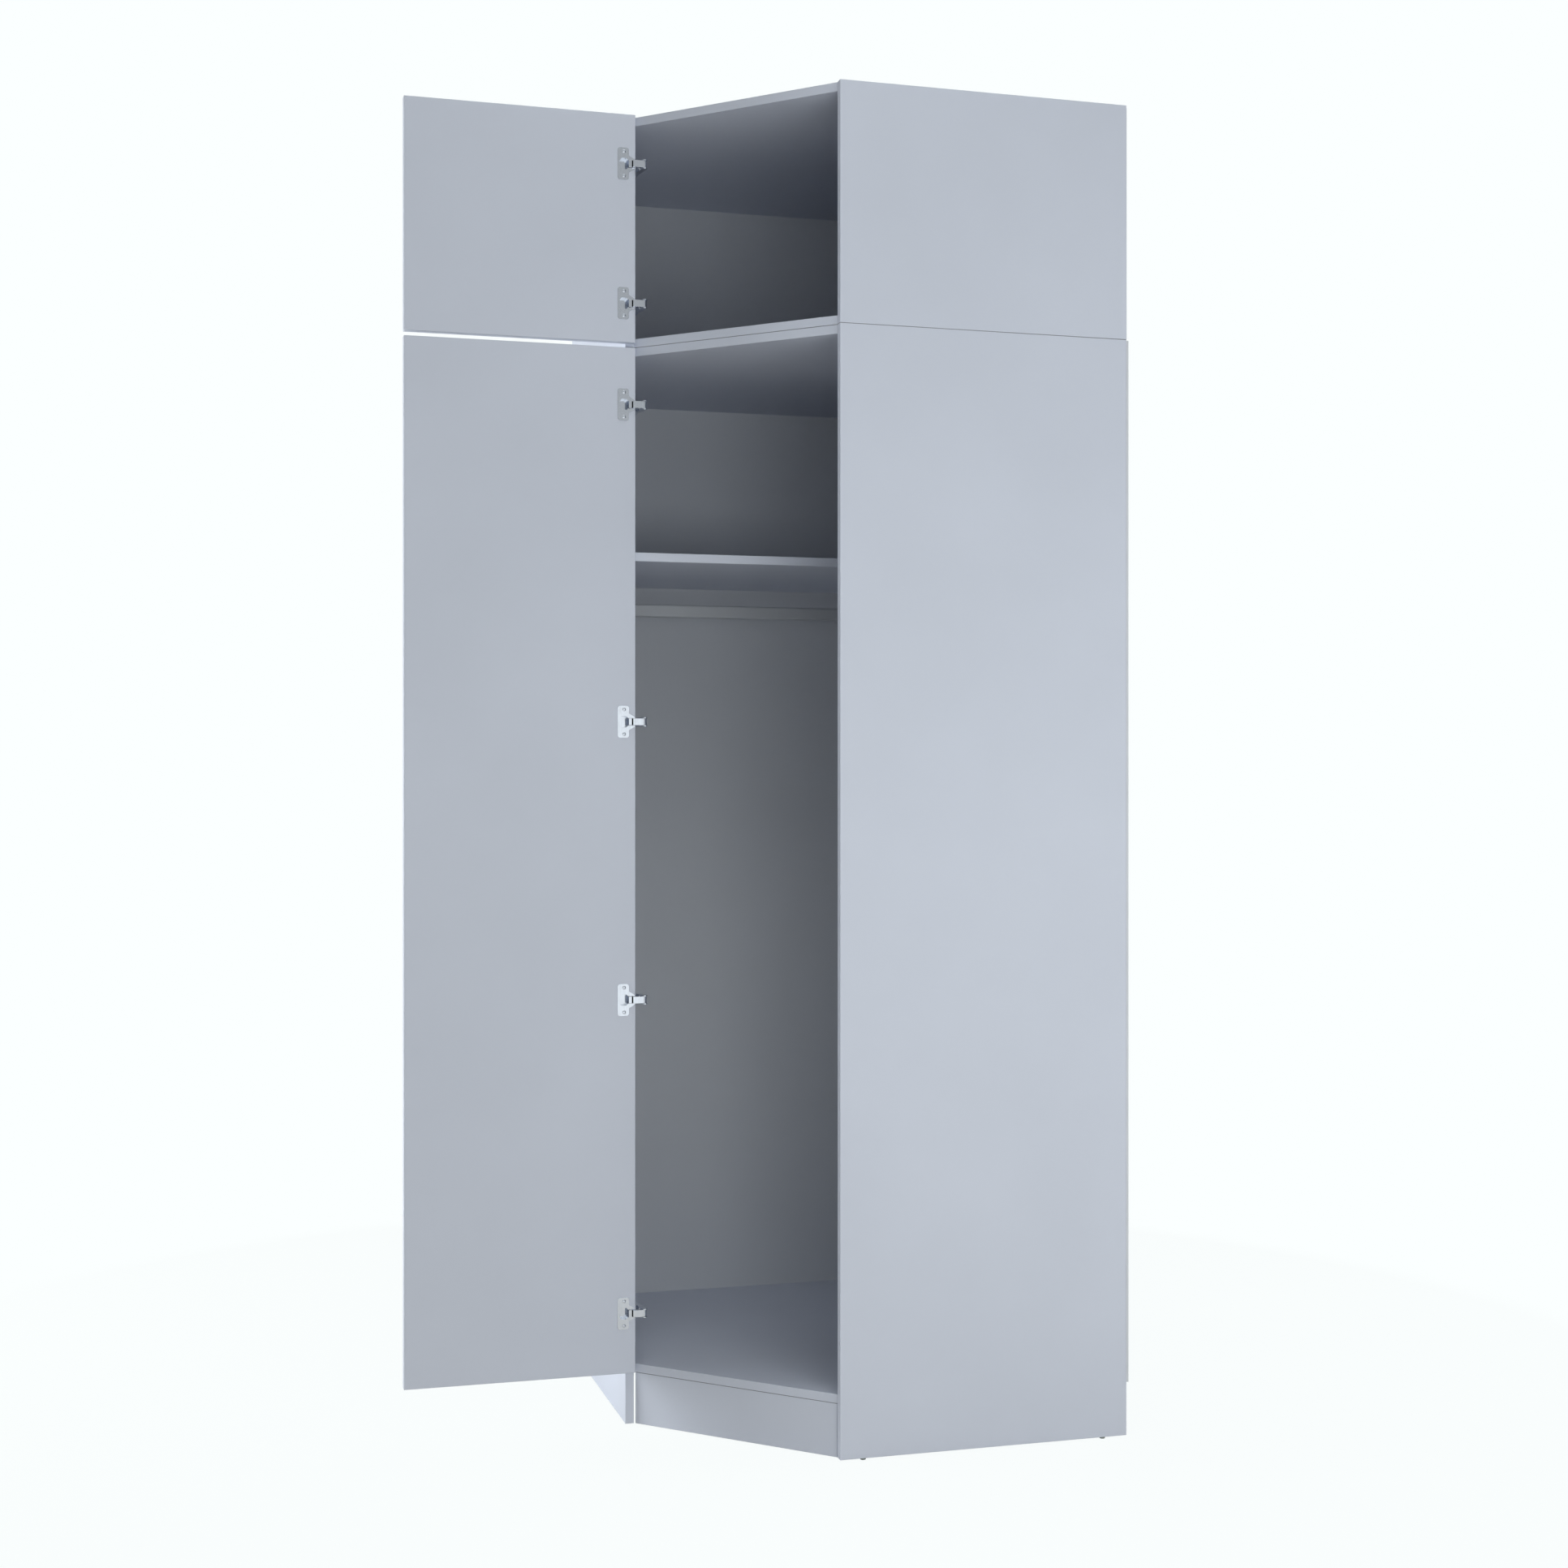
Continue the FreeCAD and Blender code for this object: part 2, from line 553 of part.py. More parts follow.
def make_rail():
    """The hanging rail, its two sockets and their screws."""
    start = LEFT_INNER + SOCKET_PLATE
    end = TRAVERSE_FACE - SOCKET_PLATE
    tube = rail_block(start, end, 0.0).cut(rail_block(start, end, -RAIL_WALL))
    add_to("clothes_rail", tube)
    sockets = (("rail_socket_left", LEFT_INNER, ALONG_X, "lower_left_side"),
               ("rail_socket_right", TRAVERSE_FACE, reverse(ALONG_X), "shelf_traverse"))
    half_width = RAIL_DEPTH / 2.0 + SOCKET_WALL + SOCKET_PLATE_MARGIN
    half_height = SOCKET_PLATE_HEIGHT / 2.0
    for name, face, axis, board in sockets:
        way = axis[0]
        plate_x = sorted((face, face + way * SOCKET_PLATE))
        collar_x = sorted((face + way * SOCKET_PLATE, face + way * (SOCKET_PLATE + SOCKET_COLLAR)))
        plate = box(plate_x[0], plate_x[1], RAIL_LINE - half_width, RAIL_LINE + half_width,
                    RAIL_CENTRE - half_height, RAIL_CENTRE + half_height)
        middle = sum(plate_x) / 2.0
        plate = eased(plate, RAIL_CORNER, lambda point: abs(point.x - middle) < 0.01)
        collar = rail_block(collar_x[0], collar_x[1], SOCKET_WALL)
        collar = collar.cut(rail_block(collar_x[0], collar_x[1], FIT))
        socket = plate.fuse(collar).removeSplitter()
        for way_up in (-0.5, 0.5):
            height = RAIL_CENTRE + way_up * SOCKET_SCREW_PITCH
            head_under = (face + way * SOCKET_PLATE, RAIL_LINE, height)
            add_to("rail_socket_screws", screw(head_under, reverse(axis), SCREW_LENGTH))
            socket = socket.cut(rod((face, RAIL_LINE, height), axis, SCREW_RADIUS + FIT, SOCKET_PLATE))
            drill(board, (face, RAIL_LINE, height), reverse(axis), SCREW_RADIUS + FIT, SCREW_LENGTH)
        add_to(name, socket)


# Doors and hinges

def door_point(along, deep):
    """Plan point on the open door, from its hinge edge and into it from its inner face."""
    return HINGE_EDGE - along, INNER_FACE + deep


def door_box(along0, along1, deep0, deep1, z0, z1):
    """A box in the open door's own directions."""
    x1, y0 = door_point(along0, deep0)
    x0, y1 = door_point(along1, deep1)
    return box(x0, x1, y0, y1, z0, z1)


def door_prism(outline, z0, z1):
    """An upright prism on an outline in the open door's own directions."""
    return prism([door_point(along, deep) for along, deep in outline], z0, z1)


def door_face_plate(outline, deep0, deep1):
    """A plate parallel to the door's face, on an outline of (along, height)."""
    points = [Vector(HINGE_EDGE - along, INNER_FACE + deep0, height) for along, height in outline]
    face = Part.Face(Part.makePolygon(points + points[:1]))
    return face.extrude(Vector(0, deep1 - deep0, 0))


def door_board(foot, head):
    """One door, drawn open."""
    return eased(door_box(0.0, DOOR_WIDTH, 0.0, DOOR_BOARD, foot, head), DOOR_ARRIS)


def octagon(start, end, height, corner, centre):
    """An outline of (along, height) with its four corners cut off."""
    half = height / 2.0
    return [
        (start + corner, centre - half),
        (end - corner, centre - half),
        (end, centre - half + corner),
        (end, centre + half - corner),
        (end - corner, centre + half),
        (start + corner, centre + half),
        (start, centre + half - corner),
        (start, centre - half + corner),
    ]


def hinge_cup(height):
    """A hinge cup with its flange and wings, open towards the hinge edge for the link."""
    half = FLANGE_HEIGHT / 2.0
    flange = door_box(FLANGE_START, FLANGE_END, -FLANGE_THICKNESS, 0.0, height - half, height + half)
    face_middle = INNER_FACE - FLANGE_THICKNESS / 2.0
    flange = eased(flange, FLANGE_CORNER, lambda point: abs(point.y - face_middle) < 0.01)
    centre_x, face_y = door_point(CUP_CENTRE, 0.0)
    cup = rod((centre_x, face_y, height), ALONG_Y, CUP_RADIUS, CUP_DEPTH)
    wing_outline = [
        (WING_START, height - WING_NEAR_HEIGHT / 2.0),
        (FLANGE_START + FLANGE_THICKNESS, height - WING_FAR_HEIGHT / 2.0),
        (FLANGE_START + FLANGE_THICKNESS, height + WING_FAR_HEIGHT / 2.0),
        (WING_START, height + WING_NEAR_HEIGHT / 2.0),
    ]
    wings = door_face_plate(wing_outline, -WING_THICKNESS, 0.0)
    body = flange.fuse(cup).fuse(wings).removeSplitter()
    floor = CUP_DEPTH - CUP_FLOOR
    recess = octagon(RECESS_START, RECESS_END, RECESS_HEIGHT, RECESS_CORNER, height)
    body = body.cut(door_face_plate(recess, -FLANGE_THICKNESS, floor))
    slot_start = CUP_CENTRE - CUP_RADIUS - FIT
    slot = door_box(slot_start, RECESS_START + RECESS_CORNER, -FLANGE_THICKNESS, floor,
                    height - SLOT_HALF, height + SLOT_HALF)
    mouth = door_box(0.0, slot_start, -FLANGE_THICKNESS, 0.0, height - SLOT_HALF, height + SLOT_HALF)
    body = body.cut(slot).cut(mouth)
    pin_x, pin_y = door_point(CUP_PIN_IN, CUP_PIN_DEEP)
    pin_foot = (pin_x, pin_y, height - CUP_PIN_LENGTH / 2.0)
    return body.cut(rod(pin_foot, ALONG_Z, CUP_PIN_RADIUS + FIT, CUP_PIN_LENGTH))


def cup_link(height):
    """The link on the cup pin: a low neck, then a bar past the door's edge with a sloped end."""
    outline = [
        (CUP_PIN_IN + LINK_EYE_RADIUS, CUP_PIN_DEEP),
        (CUP_PIN_IN, -NECK_FACE),
        (BAR_IN, -NECK_FACE),
        (BAR_IN, -LINK_FAR_FACE),
        (-KNUCKLE_OUT, -LINK_FAR_FACE),
        (-KNUCKLE_OUT, -LINK_NEAR_FACE),
        (CUP_PIN_IN - LINK_EYE_RADIUS, -LINK_NEAR_FACE),
        (CUP_PIN_IN - LINK_EYE_RADIUS, CUP_PIN_DEEP),
    ]
    foot = height - LINK_HALF
    pin_x, pin_y = door_point(CUP_PIN_IN, CUP_PIN_DEEP)
    knuckle_x, knuckle_y = door_point(-KNUCKLE_OUT, -LINK_MIDDLE)
    bar = door_prism(outline, foot, foot + LINK_HEIGHT)
    eye = rod((pin_x, pin_y, foot), ALONG_Z, LINK_EYE_RADIUS, LINK_HEIGHT)
    knuckle_radius = LINK_FAR_FACE - LINK_MIDDLE
    knuckle = rod((knuckle_x, knuckle_y, foot), ALONG_Z, knuckle_radius, LINK_HEIGHT)
    knuckle_end = -KNUCKLE_OUT - knuckle_radius
    sloped_end = [(-BAR_OUT, -LINK_FAR_FACE), (knuckle_end, -LINK_FAR_FACE), (knuckle_end, -LINK_MIDDLE)]
    beyond_slope = door_prism(sloped_end, foot, foot + LINK_HEIGHT)
    bore = rod((pin_x, pin_y, foot), ALONG_Z, CUP_PIN_RADIUS + RUNNING_FIT, LINK_HEIGHT)
    return bar.fuse(eye).fuse(knuckle).removeSplitter().cut(beyond_slope).cut(bore)


def arm_links(height):
    """The pair of plates between the arm's pin and the cup link's knuckle."""
    knuckle_x, knuckle_y = door_point(-KNUCKLE_OUT, -LINK_MIDDLE)
    run_x = knuckle_x - ARM_PIN_X
    run_y = knuckle_y - ARM_PIN_Y
    length = math.hypot(run_x, run_y)
    side_x = -run_y / length * PLATE_LINK_RADIUS
    side_y = run_x / length * PLATE_LINK_RADIUS
    outline = [
        (ARM_PIN_X + side_x, ARM_PIN_Y + side_y),
        (ARM_PIN_X - side_x, ARM_PIN_Y - side_y),
        (knuckle_x - side_x, knuckle_y - side_y),
        (knuckle_x + side_x, knuckle_y + side_y),
    ]
    plates = []
    for foot in (height + LINK_HALF + SIDE_PLAY, height - LINK_HALF - SIDE_PLAY - PLATE_LINK_THICKNESS):
        plate = prism(outline, foot, foot + PLATE_LINK_THICKNESS)
        for x, y in ((ARM_PIN_X, ARM_PIN_Y), (knuckle_x, knuckle_y)):
            plate = plate.fuse(rod((x, y, foot), ALONG_Z, PLATE_LINK_RADIUS, PLATE_LINK_THICKNESS))
        plate = plate.removeSplitter()
        bore = rod((ARM_PIN_X, ARM_PIN_Y, foot), ALONG_Z, ARM_PIN_RADIUS + FIT, PLATE_LINK_THICKNESS)
        plates.append(plate.cut(bore))
    return plates


def link_pins(height):
    """The arm pin through both plates and the rivet heads on the knuckle end."""
    reach = LINK_HALF + SIDE_PLAY + PLATE_LINK_THICKNESS
    pin = rod((ARM_PIN_X, ARM_PIN_Y, height - reach), ALONG_Z, ARM_PIN_RADIUS, 2.0 * reach)
    knuckle_x, knuckle_y = door_point(-KNUCKLE_OUT, -LINK_MIDDLE)
    high = rod((knuckle_x, knuckle_y, height + reach), ALONG_Z, KNUCKLE_RIVET_RADIUS, KNUCKLE_RIVET_HEAD)
    low = rod((knuckle_x, knuckle_y, height - reach - KNUCKLE_RIVET_HEAD), ALONG_Z,
              KNUCKLE_RIVET_RADIUS, KNUCKLE_RIVET_HEAD)
    return [pin, high, low]


def hinge_arm(height):
    """The arm on the left side, with the bore for its pin at the front."""
    front = MOUNT_FACE + ARM_THICKNESS
    foot = height - LINK_HALF
    body = box(MOUNT_FACE, front, ARM_PIN_Y, ARM_PIN_Y + ARM_LENGTH, foot, foot + LINK_HEIGHT)
    nose = rod((ARM_PIN_X, ARM_PIN_Y, foot), ALONG_Z, PLATE_LINK_RADIUS, LINK_HEIGHT)
    arm = body.fuse(nose).removeSplitter()
    bore = rod((ARM_PIN_X, ARM_PIN_Y, foot), ALONG_Z, ARM_PIN_RADIUS + RUNNING_FIT, LINK_HEIGHT)
    return arm.cut(bore)


def mount_plate(height):
    """The plate screwed to the left side under the arm."""
    half = MOUNT_PLATE_HEIGHT / 2.0
    plate = box(LEFT_INNER, MOUNT_FACE, MOUNT_START, MOUNT_START + MOUNT_PLATE_LENGTH,
                height - half, height + half)
    middle = (LEFT_INNER + MOUNT_FACE) / 2.0
    return eased(plate, FLANGE_CORNER, lambda point: abs(point.x - middle) < 0.01)


def make_hinge(door, side, index, height):
    """All the pieces of one hinge, with their bores in the door and the side."""
    cup = hinge_cup(height)
    for way_up in (-0.5, 0.5):
        level = height + way_up * CUP_SCREW_PITCH
        x, y = door_point(SCREW_LINE, -FLANGE_THICKNESS)
        add_to(door + "_cup_screws", screw((x, y, level), ALONG_Y, SCREW_LENGTH))
        cup = cup.cut(rod((x, y, level), ALONG_Y, SCREW_RADIUS + FIT, FLANGE_THICKNESS))
        drill(door, (x, INNER_FACE, level), ALONG_Y, SCREW_RADIUS + FIT, SCREW_LENGTH)
    add_to("%s_hinge_cup_%d" % (door, index), cup)
    centre_x, face_y = door_point(CUP_CENTRE, 0.0)
    drill(door, (centre_x, face_y, height), ALONG_Y, CUP_RADIUS + FIT, CUP_DEPTH + FIT)
    pin_x, pin_y = door_point(CUP_PIN_IN, CUP_PIN_DEEP)
    pin_foot = (pin_x, pin_y, height - CUP_PIN_LENGTH / 2.0)
    add_to(door + "_cup_pins", rod(pin_foot, ALONG_Z, CUP_PIN_RADIUS, CUP_PIN_LENGTH))
    add_to(door + "_cup_links", cup_link(height))
    add_to(door + "_arm_links", *arm_links(height))
    add_to(door + "_link_pins", *link_pins(height))

    plate = mount_plate(height)
    into_side = reverse(ALONG_X)
    for way_up in (-0.5, 0.5):
        level = height + way_up * MOUNT_SCREW_PITCH
        add_to("plate_screws", screw((MOUNT_FACE, MOUNT_SCREW_Y, level), into_side, SCREW_LENGTH))
        plate = plate.cut(rod((MOUNT_FACE, MOUNT_SCREW_Y, level), into_side, SCREW_RADIUS + FIT,
                              MOUNT_PLATE_THICKNESS))
        drill(side, (LEFT_INNER, MOUNT_SCREW_Y, level), into_side, SCREW_RADIUS + FIT, SCREW_LENGTH)
    arm = hinge_arm(height)
    arm_front = MOUNT_FACE + ARM_THICKNESS
    arm_screw_y = MOUNT_SCREW_Y + MOUNT_PLATE_LENGTH * 0.3
    arm_screw_start = (arm_front, arm_screw_y, height)
    through = ARM_THICKNESS + MOUNT_PLATE_THICKNESS
    add_to("arm_screws", screw(arm_screw_start, into_side, through - FIT))
    arm_hole = rod(arm_screw_start, into_side, SCREW_RADIUS + FIT, through)
    add_to("%s_hinge_arm_%d" % (door, index), arm.cut(arm_hole))
    add_to("hinge_plates", plate.cut(arm_hole))


def make_hinges():
    """The hinges of both doors, spread between the first and the last."""
    doors = (
        ("lower", LOWER_DOOR_FOOT + LOWER_HINGE_FROM_FOOT, LOWER_DOOR_HEAD - LOWER_HINGE_FROM_HEAD,
         LOWER_HINGE_SHARES),
        ("upper", UPPER_DOOR_FOOT + UPPER_HINGE_FROM_FOOT, UPPER_DOOR_HEAD - UPPER_HINGE_FROM_HEAD,
         UPPER_HINGE_SHARES),
    )
    for name, first, last, shares in doors:
        for index, share in enumerate(shares):
            height = first + (last - first) * share
            make_hinge(name + "_door", name + "_left_side", index + 1, height)


# Wall brackets

def make_wall_brackets():
    """Two angle brackets under the roof, each with a hole through the rear back sheet."""
    near_post = POST_LEFT - BRACKET_FROM_POST
    for x in (near_post - BRACKET_PITCH, near_post):
        half = BRACKET_WIDTH / 2.0
        flat = box(x - half, x + half, REAR_LINE - BRACKET_LEG, REAR_LINE,
                   UPPER_CEILING - BRACKET_THICKNESS, UPPER_CEILING)
        upright = box(x - half, x + half, REAR_LINE - BRACKET_THICKNESS, REAR_LINE,
                      UPPER_CEILING - BRACKET_LEG, UPPER_CEILING)
        bracket = flat.fuse(upright).removeSplitter()
        hole_height = UPPER_CEILING - BRACKET_LEG * 0.6
        hole_start = (x, REAR_LINE - BRACKET_THICKNESS, hole_height)
        hole_length = BRACKET_THICKNESS + BACK_SHEET
        bracket = bracket.cut(rod(hole_start, ALONG_Y, BRACKET_HOLE_RADIUS, hole_length))
        drill("upper_rear_back", hole_start, ALONG_Y, BRACKET_HOLE_RADIUS, hole_length)
        for way in (-0.25, 0.25):
            point = (x + way * BRACKET_WIDTH, REAR_LINE - BRACKET_LEG * 0.6,
                     UPPER_CEILING - BRACKET_THICKNESS)
            add_to("bracket_screws", screw(point, ALONG_Z, SCREW_LENGTH))
            bracket = bracket.cut(rod(point, ALONG_Z, SCREW_RADIUS + FIT, BRACKET_THICKNESS))
            drill("upper_top", point, ALONG_Z, SCREW_RADIUS + FIT, BRACKET_THICKNESS + SCREW_LENGTH)
        add_to("wall_brackets", bracket)


def main():
    """Build every piece and write one file for each node."""
    make_boards()
    join_panels()
    join_posts()
    nail_backs()
    join_cabinets()
    make_glides()
    make_shelf_pins()
    make_rail()
    make_hinges()
    make_wall_brackets()
    for name, shape in boards.items():
        if bores[name]:
            shape = shape.cut(bores[name])
        add_to(name, *shape.Solids)
    shift = Vector(-ORIGIN_X, -ORIGIN_Y, -ORIGIN_Z)
    for name, solids in nodes.items():
        shape = solids[0] if len(solids) == 1 else Part.Compound(solids)
        shape.translate(shift)
        shape.exportStep("parts/%s.step" % name)
    print(len(nodes), "nodes")


main()
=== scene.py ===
"""Looks of the corner wardrobe: finishes, hardware, floor, light and camera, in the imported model's frame."""

import json
import logging
import math
from dataclasses import dataclass, field, replace
from enum import Enum

import bmesh
import bpy
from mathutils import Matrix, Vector

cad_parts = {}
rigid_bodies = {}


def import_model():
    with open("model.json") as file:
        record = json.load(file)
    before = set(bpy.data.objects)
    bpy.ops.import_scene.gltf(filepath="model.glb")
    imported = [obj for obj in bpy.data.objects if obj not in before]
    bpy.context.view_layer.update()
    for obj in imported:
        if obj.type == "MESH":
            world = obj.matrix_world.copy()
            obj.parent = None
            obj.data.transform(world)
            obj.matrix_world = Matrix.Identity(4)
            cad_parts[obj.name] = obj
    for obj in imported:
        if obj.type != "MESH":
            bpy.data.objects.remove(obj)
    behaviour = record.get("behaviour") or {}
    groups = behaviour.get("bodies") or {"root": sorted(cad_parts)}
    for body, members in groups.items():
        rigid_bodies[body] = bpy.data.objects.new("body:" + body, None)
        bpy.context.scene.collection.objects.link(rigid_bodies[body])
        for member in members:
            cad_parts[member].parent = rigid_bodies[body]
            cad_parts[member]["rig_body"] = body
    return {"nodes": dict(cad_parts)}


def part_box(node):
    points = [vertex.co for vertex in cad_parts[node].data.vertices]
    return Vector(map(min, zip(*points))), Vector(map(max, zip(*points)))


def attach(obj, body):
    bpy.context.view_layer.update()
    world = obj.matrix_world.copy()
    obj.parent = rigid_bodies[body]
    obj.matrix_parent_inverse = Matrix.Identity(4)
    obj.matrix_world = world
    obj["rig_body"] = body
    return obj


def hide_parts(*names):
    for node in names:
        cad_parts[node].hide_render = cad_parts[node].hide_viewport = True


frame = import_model()

Colour = tuple[float, float, float]
MILLIMETRE = 0.001
log = logging.getLogger("wardrobe")


def linear(red: int, green: int, blue: int) -> Colour:
    """Turn an 8-bit display colour into scene-linear numbers.

    Args:
        red: red, 0 to 255.
        green: green, 0 to 255.
        blue: blue, 0 to 255.

    Returns:
        The three scene-linear values.
    """
    shares = []
    for level in (red, green, blue):
        share = level / 255.0
        shares.append(share / 12.92 if share <= 0.04045 else ((share + 0.055) / 1.055) ** 2.4)
    return (shares[0], shares[1], shares[2])


def opaque(colour: Colour) -> tuple[float, float, float, float]:
    """The colour with an alpha of one."""
    return (*colour, 1.0)


def scaled(colour: Colour, factor: float) -> Colour:
    """The colour times a factor."""
    return (colour[0] * factor, colour[1] * factor, colour[2] * factor)


class Slot(Enum):
    """Names of the record's material slots; each new piece keeps one, but nothing here uses it."""

    HINGE = "hinge_steel"
    RAIL = "rail_steel"
    FASTENER = "fastener_steel"
    SOCKET = "grey_plastic"


class Nodes:
    """A node tree with short ways to add and join nodes."""

    def __init__(self, tree: bpy.types.NodeTree) -> None:
        """Keep the tree."""
        self.tree = tree

    def add(self, kind: str, values: dict | None = None, **settings: object) -> bpy.types.Node:
        """Add a node.

        Args:
            kind: the node's type name.
            values: plain values by input name or number.
            settings: the node's own properties.

        Returns:
            The new node.
        """
        node = self.tree.nodes.new(kind)
        for name, setting in settings.items():
            setattr(node, name, setting)
        for key, value in (values or {}).items():
            node.inputs[key].default_value = value
        return node

    def join(self, source: bpy.types.NodeSocket, target: bpy.types.NodeSocket) -> None:
        """Link an output to an input."""
        self.tree.links.new(source, target)

    def feed(self, value: object, target: bpy.types.NodeSocket) -> None:
        """Put a socket or a plain value on an input.

        Args:
            value: the socket or the value.
            target: the input.
        """
        if isinstance(value, bpy.types.NodeSocket):
            self.join(value, target)
        else:
            target.default_value = value

    def maths(self, operation: str, first: object, second: object = 0.0,
              third: object = 0.0) -> bpy.types.NodeSocket:
        """Add a maths node on sockets or plain numbers.

        Args:
            operation: the maths node's operation.
            first: a socket or number.
            second: a socket or number.
            third: a socket or number.

        Returns:
            The result's socket.
        """
        node = self.add("ShaderNodeMath", operation=operation)
        for index, value in enumerate((first, second, third)):
            self.feed(value, node.inputs[index])
        return node.outputs[0]

    def vectors(self, operation: str, first: bpy.types.NodeSocket,
                second: bpy.types.NodeSocket) -> bpy.types.NodeSocket:
        """Add a vector maths node on two sockets.

        Args:
            operation: the vector maths node's operation.
            first: a vector's socket.
            second: a vector's socket.

        Returns:
            The result's socket.
        """
        node = self.add("ShaderNodeVectorMath", operation=operation)
        self.join(first, node.inputs[0])
        self.join(second, node.inputs[1])
        return node.outputs[0]

    def vector(self, *sides: object) -> bpy.types.NodeSocket:
        """Make a vector.

        Args:
            sides: its X, Y and Z, as sockets or numbers.

        Returns:
            The vector's socket.
        """
        node = self.add("ShaderNodeCombineXYZ")
        for index, value in enumerate(sides):
            self.feed(value, node.inputs[index])
        return node.outputs[0]

    def parts(self, vector: bpy.types.NodeSocket) -> bpy.types.bpy_prop_collection:
        """Split a vector.

        Args:
            vector: the vector's socket.

        Returns:
            The sockets X, Y and Z.
        """
        node = self.add("ShaderNodeSeparateXYZ")
        self.join(vector, node.inputs[0])
        return node.outputs

    def mixed(self, amount: bpy.types.NodeSocket, first: bpy.types.Node,
              second: bpy.types.Node) -> bpy.types.NodeSocket:
        """Mix two shaders.

        Args:
            amount: the mask.
            first: the shader at a mask of zero.
            second: the shader at a mask of one.

        Returns:
            The mixed shader's socket.
        """
        node = self.add("ShaderNodeMixShader")
        self.join(amount, node.inputs["Fac"])
        self.join(first.outputs[0], node.inputs[1])
        self.join(second.outputs[0], node.inputs[2])
        return node.outputs[0]


